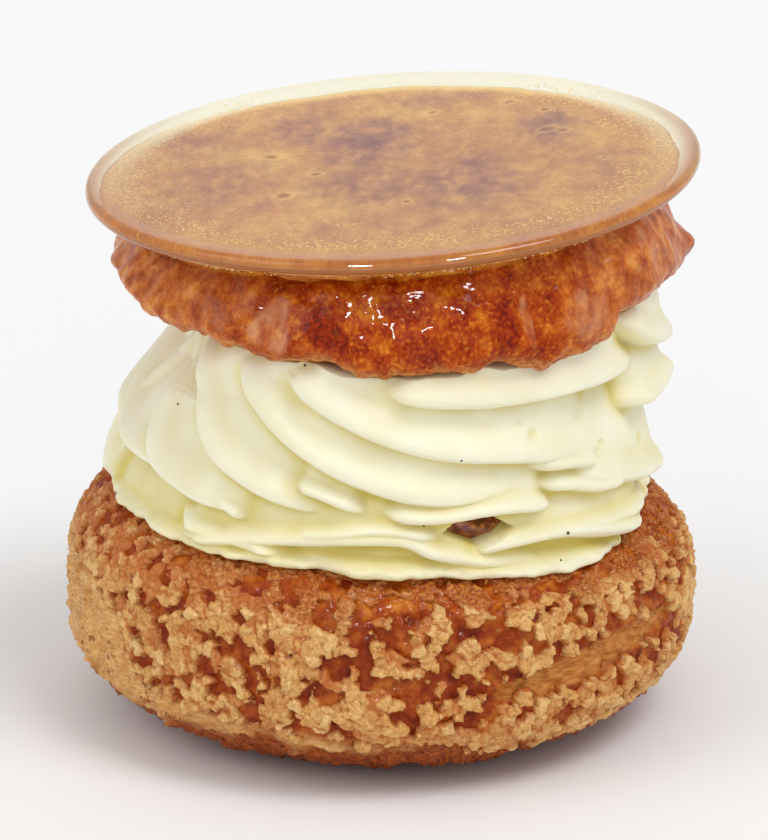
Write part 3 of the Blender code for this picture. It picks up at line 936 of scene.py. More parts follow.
def across_cream(bearing, middle):
    """Distance round the cream from one bearing."""
    return np.radians((bearing - middle + 180.0) % 360.0 - 180.0) * CREAM_RADIUS


def pocket_away(bearing, height):
    """0 at the foot of the arch and 1 on the edge of the pocket."""
    across = np.abs(across_cream(bearing, POCKET_BEARING)) / POCKET_HALF_WIDTH
    up = height - POCKET_HEIGHT
    return np.where(up >= 0, up / POCKET_ARCH + across ** POCKET_ARCH_POWER,
                    -up / POCKET_NOTCH + across)


def pressed_in(bearing, height):
    """How deep the surface is pressed in by the pocket and the bubbles."""
    depth = POCKET_DEPTH * soft_drop(pocket_away(bearing, height), *POCKET_RIM)
    for pit_bearing, pit_height, size, deep in BUBBLE_PITS:
        away = np.hypot(across_cream(bearing, pit_bearing), height - pit_height) / size
        depth += deep * soft_drop(away, *PIT_RIM)
    return depth


print("bubble pits:", len(BUBBLE_PITS))

# %% [markdown]
# Now the cream itself: at each point the outermost petal wins, as piped petals hide each
# other. The lips change the radius, and the cut faces are sloped, so the heights are settled
# in two rounds. At its foot the cream spreads and smears a little over the crust. The folds
# between the petals are remembered for the painted shade that turns the cream yellower there.

# %% Make the cream
CREAM_COLUMNS, CREAM_ROWS = 560, 164
SETTLING_ROUNDS = 2
CREAM_FOOT_RADIUS = 32.6
FOOT_TOP, FOOT_REACH = 31.0, 5.0
SHOULDER_HEIGHT, SHOULDER_RISE, SHOULDER_POWER = 30.0, 16.0, 1.9
PULL_IN, PULL_IN_LEFT = 1.0, ((8.5, -88, 42),)
CREAM_FILLS_GAP, UNDER_EDGE = 0.9, (25.0, 31.0)
OFF_THE_CUT = 0.05
CREAM_WOBBLE = ((0.16, 6.0, 51, 1), (0.04, 1.6, 52, 1))
FOOT_BAND_DOWN, FOOT_RAGS = (0.86, 0.97), ((1.1, 5.0, 53, 2), (0.5, 1.5, 54, 1))
SMEARS, SAGS, SAG_DROP = ((1.3, -38, 16), (1.2, 1, 8)), ((1.6, 40, 20),), 0.45
ROOF_SHARES = (0.0001, 0.3, 0.6, 0.85)


def cream_body_radius(bearing, height):
    up = np.clip((height - SHOULDER_HEIGHT) / SHOULDER_RISE, 0.0, 1.0) ** SHOULDER_POWER
    foot = soft_step((FOOT_TOP - height) / FOOT_REACH)
    pull = PULL_IN + bumps(bearing, PULL_IN_LEFT)
    return CREAM_RADIUS - up * pull - foot * (CREAM_RADIUS - CREAM_FOOT_RADIUS)


bearing, down = side_grid(CREAM_COLUMNS, CREAM_ROWS)
room_under_edge = CREAM_FILLS_GAP * np.maximum(0.0, lid_edge_hang(bearing[0]))
x, y = at_bearing(bearing, CREAM_RADIUS)
for _ in range(SETTLING_ROUNDS):
    near_edge = soft_step(np.hypot(x, y), *UNDER_EDGE)
    high = lid_under(x, y) - GAP + near_edge * room_under_edge
    low = cut_plane(x) + OFF_THE_CUT
    height = between(down, high, low)
    petals = [petal_height(bearing, height, *petal) for petal in all_petals()]
    stand_out = np.maximum(np.max(petals, axis=0), -CREAM_CORE_DEPTH)
    radius = cream_body_radius(bearing, height) + stand_out
    x, y = at_bearing(bearing, radius)
height = between(down, high, low)
drag = np.stack([x, y, height], axis=-1)
at_foot = soft_step(down, *FOOT_BAND_DOWN)
sag = bumps(bearing, SAGS)
height = height - SAG_DROP * at_foot * sag
wobble = layered(drag, CREAM_WOBBLE)
wobble += at_foot * (layered(drag, FOOT_RAGS) + bumps(bearing, SMEARS) + sag)
pressed = pressed_in(bearing, height)
cream_rings = space_points(bearing, radius + wobble - pressed, height)
roof = disc_rings(cream_rings[0], lambda x, y: lid_under(x, y) - GAP, ROOF_SHARES)
foot = disc_rings(cream_rings[-1], lambda x, y: cut_plane(x) + OFF_THE_CUT, FOOT_SHARES)
cream = closed_form("piped_cream", np.concatenate([roof, cream_rings, foot]))
set_in_place(cream, "cream")

# %% [markdown]
# Cream is palest on the proud lips and yellower in the folds, where light bounces between
# two walls of it. Traced light does some of that by itself. A stored number paints in the
# rest as shade: how far each point lies below the average of its neighbours, the sunken
# places between petals, the nut's pocket and the bubble pits, and more low down, where less
# light falls, but less on the left and the front right, where more light falls.

# %% Where the cream is folded
FOLD_BASE, FOLD_LOW, LOW_BAND = 0.16, 0.46, (29.0, 41.0)
FOLD_SIDES = ((-0.14, -60, 40), (-0.26, 45, 36))
VALLEY_REACH, VALLEY_SHARE = 7, 0.95
SUNK_SHARE, SUNK_BAND = 0.4, (0.0, 3.4)
PRESSED_SHARE, PRESSED_BAND = 0.7, (0.1, 0.5)


def softened(field, reach):
    """The field averaged over a few neighbours along and across the rings."""
    padded = np.pad(field, ((reach, reach), (0, 0)), mode="edge")
    shifts = range(-reach, reach + 1)
    down = sum(padded[reach + k:reach + k + len(field)] for k in shifts) / len(shifts)
    return sum(np.roll(down, k, axis=1) for k in shifts) / len(shifts)


# Painted shade: higher numbers turn the cream a deeper yellow.
fold = FOLD_BASE + FOLD_LOW * soft_drop(height, *LOW_BAND) + bumps(bearing, FOLD_SIDES)
fold += VALLEY_SHARE * (softened(stand_out, VALLEY_REACH) - stand_out)
fold += SUNK_SHARE * soft_step(-stand_out, *SUNK_BAND)
fold += PRESSED_SHARE * soft_step(pressed, *PRESSED_BAND)
fold = softened(np.clip(fold, 0.0, 1.0), 1)
remember(cream, (len(roof), len(foot)), fold=fold)
print("the folds' colour has", round(100 * float(fold.mean())), "% of the cream")

# %% [markdown]
# Whipped cream is matt and lets light in a millimetre or so, so subsurface light does most of
# the work, a little redder light going deeper than blue. The relief is very fine: the tiny
# bubbles of the whip, seen only as softness.

# %% The cream's finish
def cream_finish():
    finish = Finish("whipped_vanilla_cream", 0.42, Subsurface_Weight=0.22,
                    Subsurface_Scale=1.2 * MM, Subsurface_Radius=(1.0, 0.8, 0.35),
                    Coat_Weight=0.06, Coat_Roughness=0.3, Specular_IOR_Level=0.25)
    cloud = finish.grain(7.0, 2.0)
    pale = finish.ramp(cloud, (0.35, (236, 231, 200)), (0.65, (241, 237, 212)))
    # Painted shade: the deeper yellow of the folds, the pocket, the pits and the low cream.
    rich = finish.ramp(cloud, (0.35, (218, 201, 106)), (0.65, (226, 210, 124)))
    finish.use("Base Color", finish.where("fold", pale, rich))
    finish.relief((finish.grain(0.9, 2.0), 0.02), (finish.grain(0.25, 2.0), 0.008))
    return finish


cream_finish().put_on(cream)

# %% [markdown]
# The lid is the bun's top, crumbly crust and all, dipped in hot caramel. The coat rounds off
# every crumb, pools into runs that hang down the side, and catches the light like varnish.
# So the lid is a lumpy form, and the coat is left to the shader: a second shell of glass
# would cost twice the mesh and look the same.

# %% The lid's side
LID_RADIUS = 34.3
LID_TOP_RADIUS, LID_TOP_PULL_IN = 29.3, ((2.6, -90, 60),)
LID_SHOULDER_END, LID_SHOULDER_POWER = 0.8, 1.5
LID_SIDE_HEIGHT = 13.0
LID_SWELL = ((0.7, 9.0, 61, 1),)
LID_NUB, NUB_ALONG, NUB_REACH = ((1.8, 88, 5),), 0.7, 0.12
INTO_THE_TOP = 0.25


def lid_side(bearing, along):
    """Points of the lid's side: along runs from 0 at the top's rim to 1 at the lower edge."""
    top = LID_TOP_RADIUS - bumps(bearing, LID_TOP_PULL_IN)
    shoulder = np.maximum(0.0, 1.0 - along / LID_SHOULDER_END) ** LID_SHOULDER_POWER
    lower_edge = np.maximum(0.0, along - LID_SHOULDER_END) / (1.0 - LID_SHOULDER_END)
    radius = LID_RADIUS - shoulder * (LID_RADIUS - top)
    radius = radius - lower_edge ** 2 * (LID_RADIUS - LID_UNDER_RADIUS)
    spot = space_points(bearing, radius, along * LID_SIDE_HEIGHT)
    nub = bumps(bearing, LID_NUB) * np.exp(-(((along - NUB_ALONG) / NUB_REACH) ** 2))
    radius = radius + nub + np.sin(np.pi * along) * layered(spot, LID_SWELL)
    x, y = at_bearing(bearing, radius)
    x = x + LID_CENTRE_X
    high, low = lid_top(x, y) + INTO_THE_TOP, lid_under(x, y) + lid_edge_hang(bearing)
    return np.stack([x, y, between(along, high, low)], axis=-1)


print("lid:", 2 * LID_RADIUS, "mm across")

# %% [markdown]
# The coat isn't even. Its milky ovals are partly a film where it trapped air and dried,
# and partly a painted reflection of the white surroundings in the glossy coat; in other
# places it ran thick and clear over dark crust. Each place is a soft oval with a ragged edge,
# and the back has the same ovals again, turned, so that no side of the lid is left plain.

# %% Where the coat is milky or deep
# Each oval: bearing and height of its middle, half width in degrees, half height, strength.
MILKY_FILM = ((-55, 58.0, 26.0, 9.0, 0.30), (-25, 56.0, 3.6, 3.6, 0.8),
              (28, 56.2, 1.6, 3.0, 0.9), (41, 56.0, 6.0, 3.2, 0.75), (64, 61.0, 3.0, 6.0, 0.8),
              (-82, 60.0, 7.0, 7.0, 0.8), (-72, 62.5, 2.0, 4.0, 0.8), (80, 58.0, 4.0, 6.0, 0.7))
DEEP_CARAMEL = ((-14.5, 56.0, 3.4, 2.6, 1.0), (20.8, 56.6, 3.6, 2.8, 0.85),
                (4, 54.0, 5.0, 1.6, 0.5), (-35, 55.5, 6.0, 2.0, 0.4), (55, 58.0, 3.0, 3.0, 0.4))
OVAL_EDGE = (0.7, 1.1)
STRAY_ROUND, STRAY_UP = ((4.0, 4.0, 91, 1),), ((1.6, 4.0, 92, 1),)
MM_PER_DEGREE = 0.6
FRONT_ONLY_BEYOND = 60
SECOND_TURN, SECOND_STEP, SECOND_COUNT = 118.0, 34.0, 3
THIRD_TURN, THIRD_STEP = 190.0, 9.0


def copies_round(number):
    """Turns at which an oval is laid: once at the front and twice round the back."""
    second = SECOND_TURN + SECOND_STEP * (number % SECOND_COUNT)
    return 0.0, second, THIRD_TURN + THIRD_STEP * number


def coat_field(bearing, height, ovals):
    """How strongly any of the ovals covers each point, from 0 to 1."""
    spot = np.stack([bearing * MM_PER_DEGREE, height, 0.0 * height], axis=-1)
    stray_round, stray_up = layered(spot, STRAY_ROUND), layered(spot, STRAY_UP)
    field = np.zeros(bearing.shape)
    for number, (middle, high, half_width, half_height, strength) in enumerate(ovals):
        for turn in copies_round(number):
            if turn and abs(middle) > FRONT_ONLY_BEYOND:
                continue
            across = (bearing + stray_round - middle - turn + 180.0) % 360.0 - 180.0
            away = np.hypot(across / half_width, (height + stray_up - high) / half_height)
            field = np.maximum(field, strength * soft_drop(away, *OVAL_EDGE))
    return field


print("ovals on the coat:", len(MILKY_FILM) + len(DEEP_CARAMEL))

# %% [markdown]
# The lid's form is put together from its side, a lumpy coat of crumbs over it, a flat top
# that the disc hides and an underside that rests on the cream. Near the torn lower edge the
# dip didn't reach, so there the lumps get sharper and the crust is dry.

# %% Make the lid
LID_COLUMNS, LID_SIDE_ROWS = 560, 120
LID_CAP_SHARES = (0.0001, 0.12, 0.24, 0.36, 0.48, 0.6, 0.7, 0.8, 0.9, 0.96)
LID_UNDER_SHARES = (0.98, 0.95, 0.9, 0.8, 0.6, 0.3, 0.1)
LID_CRUMB, LID_CRUMB_SEED, LID_CRUMB_RELIEF, LID_CRUMB_EDGE = 1.7, 70, 0.06, 0.5
LID_LUMPS = ((0.46, 4.5, 71, 1), (0.08, 1.8, 72, 2))
LOW_ROUGHNESS, LOW_BAND_DOWN = ((0.30, 1.5, 73, 2),), (0.75, 1.0)
COAT_SINKS, LID_TOP_FADE = 0.3, (0.0, 0.08)
CAP_LIFT, UNDER_LIFT, UNDER_LIFT_POWER = 0.35, 0.2, 6
DRY_SHARE, DRY_STRAY, DRY_BAND = 0.75, ((0.07, 2.4, 74, 2),), (0.86, 1.0)
SUNNY_SIDES = ((0.62, -64, 34), (0.5, 64, 26), (0.4, 170, 60))

bearing, down = side_grid(LID_COLUMNS, LID_SIDE_ROWS)
rings = lid_side(bearing, down)
depth, chance, _ = crumb_cells(rings, LID_CRUMB, LID_CRUMB_SEED)
rough = LID_CRUMB_RELIEF * soft_step(depth, 0.0, LID_CRUMB_EDGE) * (0.5 + chance)
rough += layered(rings, LID_LUMPS)
rough += soft_step(down, *LOW_BAND_DOWN) * layered(rings, LOW_ROUGHNESS)
fade = soft_step(down, *LID_TOP_FADE)
rings = rings + outward(rings) * ((rough - COAT_SINKS) * fade)[..., None]
roof = disc_rings(rings[0], lambda x, y: lid_top(x, y) + CAP_LIFT, LID_CAP_SHARES)
under = disc_rings(rings[-1], lambda x, y: lid_under(x, y) + UNDER_LIFT, LID_UNDER_SHARES)
lift = rings[-1][:, 2] - lid_under(rings[-1][:, 0], rings[-1][:, 1])
reach = np.array(LID_UNDER_SHARES)[:, None] ** UNDER_LIFT_POWER
under[..., 2] += np.maximum(lift, 0.0) * reach
lid = closed_form("dipped_lid", np.concatenate([roof, rings, under]))
# Painted reflection: the milky ovals stand partly for the white surroundings seen in the coat,
# partly for a real milky film.
film = coat_field(bearing, rings[..., 2], MILKY_FILM)
deep = coat_field(bearing, rings[..., 2], DEEP_CARAMEL)
dry = DRY_SHARE * soft_step(down + layered(rings, DRY_STRAY), *DRY_BAND)
remember(lid, (len(roof), len(under)), film=film, deep=deep, dry=dry,
         sunny=bumps(bearing, SUNNY_SIDES))
set_in_place(lid, "bun_lid")

# %% [markdown]
# Dipped crust is a mottled amber-brown under a clear, shiny coat. The shader's own coat layer
# is the caramel: nearly mirror smooth, with a slow wave in its normal, so that highlights
# break up as they do on set syrup. Under it the colours follow the numbers stored above.

# %% The lid's finish
def glazed_finish():
    finish = Finish("caramel_dipped_crust", 0.4, Coat_Weight=0.4, Coat_Roughness=0.03,
                    Specular_IOR_Level=0.02, Coat_IOR=1.4)
    mottle = finish.grain(2.2, 4.0, 0.62)
    fine = finish.grain(0.5, 3.0)
    brown = finish.ramp(mottle, (0.32, (106, 12, 0)), (0.46, (152, 40, 0)),
                        (0.58, (190, 82, 4)), (0.70, (224, 140, 26)))
    speckle = finish.ramp(fine, (0.34, (124, 24, 0)), (0.55, (180, 70, 2)),
                          (0.70, (232, 156, 42)))
    colour = finish.blend(0.46, brown, speckle)
    sunny = finish.ramp(mottle, (0.34, (150, 56, 8)), (0.50, (204, 116, 36)),
                        (0.66, (238, 176, 88)))
    colour = finish.where("sunny", colour, sunny)
    dark = finish.ramp(fine, (0.35, (92, 12, 0)), (0.7, (170, 46, 4)))
    colour = finish.where("deep", colour, dark, 0.85)
    # Painted reflection: pale streaky colour over the milky ovals, partly the surroundings seen
    # in the coat, partly a milky film.
    streaks = finish.grain(1.4, 2.0, 0.5, (1.0, 1.0, 0.25))
    milky = finish.ramp(streaks, (0.35, (196, 112, 62)), (0.65, (226, 172, 132)))
    streaky = finish.ramp(streaks, (0.2, (150, 150, 150)), (0.8, (215, 215, 215)))
    share = finish.blend(1.0, finish.kept("film"), streaky, "MULTIPLY")
    colour = finish.blend(share, colour, milky)
    dry = finish.ramp(fine, (0.35, (172, 92, 34)), (0.65, (220, 160, 92)))
    colour = finish.where("dry", colour, dry, 0.8)
    finish.use("Base Color", colour)
    finish.relief((fine, 0.12))
    finish.relief((finish.grain(4.5, 1.0), 0.3), socket="Coat Normal")
    return finish


glazed_finish().put_on(lid)

# %% [markdown]
# Under the disc the hot caramel pooled between disc and lid and set there as a golden brown
# layer with a sloping skirt. It is what gives the disc its colour, so it is a form of its own,
# its top just inside the disc, leaving only a clear band at the back and a thin rim.

# %% The caramel pool's outline
POOL_RADIUS_FRONT, POOL_RADIUS_BACK, POOL_BACK = 35.4, 30.8, (176, 68)
POOL_DENT = ((0.8, 92, 30),)
POOL_EDGE_AT, POOL_EDGE_WAVES = 20.0, ((0.7, 5.0, 83, 2), (0.35, 0.9, 85, 2))
POOL_EDGE_FRONT = 0.25
POOL_INTO_DISC, POOL_TOP_ROWS = 0.25, 96
POOL_HANG = ((0.5, 4.0, 84, 1),)

# Each row of the side: share of the radius, level under the disc, how much it hangs.
POOL_SIDE = ((1.0, 0.05, 0.0), (0.995, -0.2, 0.05), (0.98, -0.45, 0.2), (0.965, -0.75, 0.5),
             (0.945, -1.05, 0.8), (0.925, -1.5, 1.0), (0.88, -2.4, 1.0))


def pool_radius(bearing):
    back = bump(bearing, *POOL_BACK)
    edge = layered(space_points(bearing, POOL_EDGE_AT, 0.0), POOL_EDGE_WAVES)
    radius = between(back, POOL_RADIUS_FRONT, POOL_RADIUS_BACK) - bumps(bearing, POOL_DENT)
    return radius + edge * (POOL_EDGE_FRONT + back)


def upright(rows):
    """A table of rows as one upright array per column, ready to spread over bearings."""
    return [column[:, None] for column in np.array(rows).T]


def round_disc_axis(bearing, radius, level):
    """Points round the disc's axis: x, y, and the same points at a level."""
    x, y = at_bearing(bearing, radius)
    x = x + DISC_CENTRE_X
    return x, y, np.stack(np.broadcast_arrays(x, y, level), axis=-1)


print("the pool reaches", round(float(pool_radius(np.array([0.0]))[0]), 1), "mm to the front")

# %% [markdown]
# The pool isn't one colour either. Dusky stains show where the lid's dark top comes close,
# and small pits with pale lips are burst bubbles. Both are lists of soft spots, pushed about
# by noise so that no outline is a clean oval. The numbers are kept for the finish.

# %% Make the caramel pool
POOL_COLUMNS = 420
# Each stain: middle in plan, half widths, strength. Each pit: middle in plan, radius.
DUSKY_STAINS = ((-2, 9, 7.4, 11.0, 1.0), (19.8, 10.0, 5.2, 8.0, 0.85),
                (10, -8.5, 9.4, 12.5, 0.85), (-9, 15, 6.6, 8.0, 0.8), (-1, -8, 9.5, 10.0, 0.75),
                (-20, -5, 11.0, 13.0, 0.55), (6, 25, 7.0, 4.0, 0.55), (-23, 12, 7.0, 8.0, 0.5),
                (2, -22, 13.0, 6.0, 0.35), (25, -6, 6.0, 9.0, 0.45))
AMBER_PITS = ((19.5, 17.5, 0.8), (20, 10.0, 1.0), (21.4, 9.0, 0.8), (-11.8, -9.6, 0.8),
              (5.7, 19.1, 0.7), (-13.3, 5.3, 0.9), (-8, -3, 0.6), (15.5, 22, 0.8),
              (-17, -14, 0.5), (26, -3, 0.5), (3, -15, 0.5))
STAIN_EDGE, STAIN_STRAY_X, STAIN_STRAY_Y = (0.25, 1.3), ((2.0, 4.5, 86, 3),), ((3.6, 4.5, 87, 3),)
PIT_EDGE, PIT_STRAY, LIP_AT, LIP_HALF_WIDTH = (0.3, 1.0), 0.3, 1.35, 0.4
THIN_BAND, THIN_BACK = (0.90, 1.0), (178, 80)
NEAR_RIM_BAND, NEAR_RIM_FRONT = (0.84, 0.93), (0, 66)
OUTER_STRAY, OUTER_BAND = ((2.5, 5.0, 88, 1),), (24.0, 33.0)

pool_top = [(share, POOL_INTO_DISC, 0.0) for share in np.linspace(0.015, 0.985, POOL_TOP_ROWS)]
share, level, hang = upright([*pool_top, *POOL_SIDE])
bearing = all_round(POOL_COLUMNS)
x, y, spot = round_disc_axis(bearing, share * pool_radius(bearing), level)
level = level + hang * layered(spot, POOL_HANG)
rings = np.stack([x, y, disc_plane(x, y) - DISC_THICKNESS / 2 + level], axis=-1)
stray_x, stray_y = layered(spot, STAIN_STRAY_X), layered(spot, STAIN_STRAY_Y)
stain, pit, pit_lip = np.zeros(x.shape), np.zeros(x.shape), np.zeros(x.shape)
for left, behind, half_x, half_y, strength in DUSKY_STAINS:
    away = np.hypot((x + stray_x - left) / half_x, (y + stray_y - behind) / half_y)
    stain = np.maximum(stain, strength * soft_drop(away, *STAIN_EDGE))
for left, behind, size in AMBER_PITS:
    away = np.hypot(x + PIT_STRAY * stray_x - left, y + PIT_STRAY * stray_y - behind) / size
    pit = np.maximum(pit, soft_drop(away, *PIT_EDGE))
    pit_lip = np.maximum(pit_lip, np.exp(-(((away - LIP_AT) / LIP_HALF_WIDTH) ** 2)))
thin = soft_step(share, *THIN_BAND) * bump(bearing, *THIN_BACK)
near_rim = soft_step(share, *NEAR_RIM_BAND) * bump(bearing, *NEAR_RIM_FRONT)
outer = soft_step(np.hypot(x, y) + layered(spot, OUTER_STRAY), *OUTER_BAND) * (1.0 - near_rim)
pool = closed_form("caramel_pool", rings)
remember(pool, stain=stain, pit=pit, pit_lip=pit_lip, thin=thin, outer=outer,
         skirt=np.broadcast_to(hang, x.shape))
set_in_place(pool, "bun_lid")

# %% [markdown]
# Seen through the disc the pool is gold in the middle of each patch, brown at the stains and
# dusted with pale crystals near its rim. The glass above reflects a bright sky and washes the
# colours out, so they are a little stronger here than they should look in the end.

# %% The pool's finish
def pool_finish():
    finish = Finish("golden_caramel", 0.25, Coat_Weight=0.8, Coat_Roughness=0.05,
                    Specular_IOR_Level=0.3, Subsurface_Weight=0.2, Subsurface_Scale=1.0 * MM)
    cloud = finish.grain(7.0, 3.0, 0.55, (1.15, 0.62, 1.0))
    mottle = finish.grain(2.4, 4.0, 0.62, (1.15, 0.62, 1.0))
    gold = finish.ramp(cloud, (0.35, (178, 106, 72)), (0.5, (205, 149, 79)),
                       (0.63, (221, 177, 95)))
    patches = finish.ramp(mottle, (0.35, (176, 106, 72)), (0.51, (206, 152, 86)),
                          (0.68, (232, 190, 110)))
    colour = finish.blend(0.4, gold, patches)
    dust = finish.ramp(finish.grain(0.5, 3.0), (0.36, (152, 94, 58)), (0.64, (228, 186, 122)))
    colour = finish.blend(0.22, colour, dust)
    colour = finish.where("outer", colour, (190, 136, 82), 0.5)
    dusk = finish.ramp(mottle, (0.33, (124, 70, 76)), (0.50, (159, 102, 89)),
                       (0.67, (196, 141, 95)))
    colour = finish.where("stain", colour, dusk)
    colour = finish.where("thin", colour, (246, 216, 146))
    deep = finish.ramp(mottle, (0.34, (150, 62, 4)), (0.52, (206, 122, 18)),
                       (0.68, (238, 180, 56)))
    colour = finish.where("skirt", colour, deep)
    flecks = finish.spread(finish.grain(0.42, 2.0), 0.0, 0.9, 0.585, 0.65)
    flecks = finish.where("outer", (0, 0, 0), flecks)
    colour = finish.blend(flecks, colour, (250, 226, 136))
    colour = finish.where("pit_lip", colour, (236, 196, 122), 0.36)
    colour = finish.where("pit", colour, (154, 86, 28), 0.8)
    finish.use("Base Color", colour)
    finish.relief((mottle, 0.08))
    return finish


pool_finish().put_on(pool)

# %% [markdown]
# On top lies a disc of boiled sugar, cast flat and a couple of millimetres thick. A squashed
# cylinder would have hard edges. Here the outline goes over the top, round the rim in a half
# circle, as surface tension shapes it, and back underneath. It is never quite round or flat.

# %% Make the caramel disc
DISC_COLUMNS, DISC_FACE_ROWS, DISC_RIM_ROWS = 240, 36, 14
DISC_RADIUS = 36.4
DISC_FLAT, DISC_TRIPLE = ((0.5, 128, 16),), (0.12, 3, 40)
DISC_MIDDLE, DISC_RIM_START, DISC_RIM_TURN = 0.02, 0.975, 0.15
DISC_WAVES, WAVE_SQUEEZE = ((0.035, 16.0, 81, 1), (0.012, 5.0, 82, 1)), 3
AMBER_FRONT, CLEAR_BACK = 1.1, ((1.4, 180, 74),)
RIM_BAND_OUT, CLEAR_BAND_OUT = (0.90, 1.0), (0.80, 0.88)
CLEAR_EDGE, CLEAR_EDGE_BAND = (0.65, 1.0), (0.968, 0.99)
FOOT_BAND_OUT, FOOT_BAND_LOW = (0.95, 0.99), (-0.3, 0.3)
MILKY_STARTS, MILKY_ENDS = (0.93, 0.96), (0.972, 0.99)


def disc_rim_radius(bearing):
    """A cast disc is never quite round: a little flat at the back right."""
    tall, lobes, turn = DISC_TRIPLE
    lobe = tall * np.sin(np.radians(lobes * bearing + turn))
    return DISC_RADIUS - bumps(bearing, DISC_FLAT) + lobe


def disc_outline():
    """Rows of (share of the radius, level): over the top, round the rim, and underneath."""
    half = DISC_THICKNESS / 2
    shares = np.linspace(DISC_MIDDLE, DISC_RIM_START, DISC_FACE_ROWS)
    turns = np.linspace(DISC_RIM_TURN, math.pi - DISC_RIM_TURN, DISC_RIM_ROWS)
    rim = [(DISC_RIM_START + (1.0 - DISC_RIM_START) * math.sin(turn), half * math.cos(turn))
           for turn in turns]
    return [*((s, half) for s in shares), *rim, *((s, -half) for s in shares[::-1])]


share, level = upright(disc_outline())
bearing = all_round(DISC_COLUMNS)
x, y, flat = round_disc_axis(bearing, share * disc_rim_radius(bearing), level * WAVE_SQUEEZE)
height = disc_plane(x, y) + level + layered(flat, DISC_WAVES)
disc = closed_form("caramel_disc_glass", np.stack([x, y, height], axis=-1))
front = np.clip(AMBER_FRONT - bumps(bearing, CLEAR_BACK), 0.0, 1.0)
clear_band = (1.0 - front) * soft_step(share, *CLEAR_BAND_OUT)
clear_band = clear_band * between(soft_step(share, *CLEAR_EDGE_BAND), *CLEAR_EDGE)
# Painted shadow: the front rim's lower edge, dark in the finish, for the shaded zone under the
# disc.
rim_foot = front * soft_step(share, *FOOT_BAND_OUT)
rim_foot = rim_foot * soft_step(-level / (DISC_THICKNESS / 2), *FOOT_BAND_LOW)
# Painted highlight: a pale line along the front rim's top, for the light off its rounding.
milky_line = front * soft_step(share, *MILKY_STARTS) * soft_drop(share, *MILKY_ENDS)
milky_line = milky_line * (level > 0)
remember(disc, rim=front * soft_step(share, *RIM_BAND_OUT), clear_band=clear_band,
         rim_foot=rim_foot, milky_line=milky_line)
set_in_place(disc, "caramel_disc")

# %% [markdown]
# Glass is the right shader for boiled sugar: clear, amber where it is thick, mirror-like at a
# low angle. At the front the rim turns from clear to a soft amber. A painted highlight, a
# pale pinkish line, runs along its top for the light off its rounding, and a painted shadow,
# dark amber, runs along its lower edge for the shaded zone under the disc. Light has to reach
# the pool below, so for shadow rays, and in the clear band at the back, the glass is mixed
# with plain transparency. Without that the pool would lie in the dark.

# %% The caramel's finish
def lets_light_through(finish):
    """Mixes in transparency for shadow rays and in the clear band."""
    clear = finish.nodes.new("ShaderNodeBsdfTransparent")
    clear.inputs["Color"].default_value = (1.0, 0.98, 0.88, 1.0)
    path = finish.nodes.new("ShaderNodeLightPath")
    share = finish.nodes.new("ShaderNodeMath")
    share.operation = "MAXIMUM"
    finish.links.new(path.outputs["Is Shadow Ray"], share.inputs[0])
    finish.links.new(finish.spread(finish.kept("clear_band"), 0.0, 0.92), share.inputs[1])
    mix = finish.nodes.new("ShaderNodeMixShader")
    finish.links.new(share.outputs["Value"], mix.inputs["Fac"])
    finish.links.new(finish.shader.outputs["BSDF"], mix.inputs[1])
    finish.links.new(clear.outputs["BSDF"], mix.inputs[2])
    output = finish.nodes["Material Output"]
    finish.links.new(mix.outputs["Shader"], output.inputs["Surface"])


def caramel_finish():
    finish = Finish("clear_amber_caramel", 0.03, IOR=1.5)
    tint = finish.ramp(finish.grain(9.0, 2.0), (0.35, (255, 252, 226)), (0.65, (255, 253, 232)))
    amber = finish.ramp(finish.grain(2.5, 3.0), (0.3, (198, 142, 80)), (0.7, (220, 174, 114)))
    colour = finish.where("rim", tint, amber)
    # Painted shadow: dark amber along the front rim's lower edge.
    colour = finish.where("rim_foot", colour, (158, 84, 20))
    # Painted highlight: a pale pinkish line along the front rim's top.
    colour = finish.where("milky_line", colour, (218, 172, 142))
    finish.use("Base Color", colour)
    # How much light passes: less in the cloudy clear band, and less under the painted shadow and
    # the painted highlight, so that they show.
    cloudy = finish.where("clear_band", (255, 255, 255), (110, 110, 110))
    cloudy = finish.where("rim_foot", cloudy, (120, 120, 120))
    cloudy = finish.where("milky_line", cloudy, (205, 205, 205))
    finish.use("Transmission Weight", cloudy)
    lets_light_through(finish)
    return finish


caramel_finish().put_on(disc)

# %% [markdown]
# Tiny air bubbles and sugar crystals sit in the disc's rim and in the pool's skirt and
# sparkle like gold dust. Each is a pinhead with a few flat faces at its true size. They are
# far too many to place by hand, so a seeded random draw scatters them in one joined piece.

# %% Helpers: scattered pinheads
def pinhead(subdivisions):
    bm = bmesh.new()
    bmesh.ops.create_icosphere(bm, subdivisions=subdivisions, radius=1.0)
    points = np.array([vertex.co[:] for vertex in bm.verts])
    faces = np.array([[vertex.index for vertex in face.verts] for face in bm.faces])
    bm.free()
    return points, faces


def scattered(name, places, sizes, subdivisions=1):
    """Many pinheads as one mesh: places in millimetres, sizes as three half widths."""
    points, faces = pinhead(subdivisions)
    every = places[:, None, :] + points[None] * sizes[:, None, :]
    shifted = faces[None] + (np.arange(len(places)) * len(points))[:, None, None]
    return mesh_object(name, every.reshape(-1, 3), shifted.reshape(-1, 3).tolist())


print("faces on a pinhead:", len(pinhead(1)[1]))

# %% [markdown]
# Most sparkles float in the disc near its rim, thinning out towards the middle, which a gamma
# draw gives in one line. The rest cling to the pool's skirt. At the front they keep clear of
# the curved rim, which would stretch each one into a long streak.

# %% Scatter the gold sparkles
SPARKLE_COUNT, SPARKLE_DRAW = 2400, 7
SPARKLE_SPREAD = 150.0
SPARKLE_INSET, SPARKLE_GAMMA, SPARKLE_REACH = 2.3, (1.3, 1.7), 9.0
SPARKLE_CLEAR_OF_FRONT = ((2.0, 0, 62),)
SPARKLE_LEVELS, SPARKLE_SIZES = (0.1, 0.75), (0.05, 0.125)
SPARKLE_STRETCH, SPARKLE_SQUASH = (0.8, 1.6), 0.8
SKIRT_SHARE, SKIRT_BAND = 0.24, (0.935, 0.99)

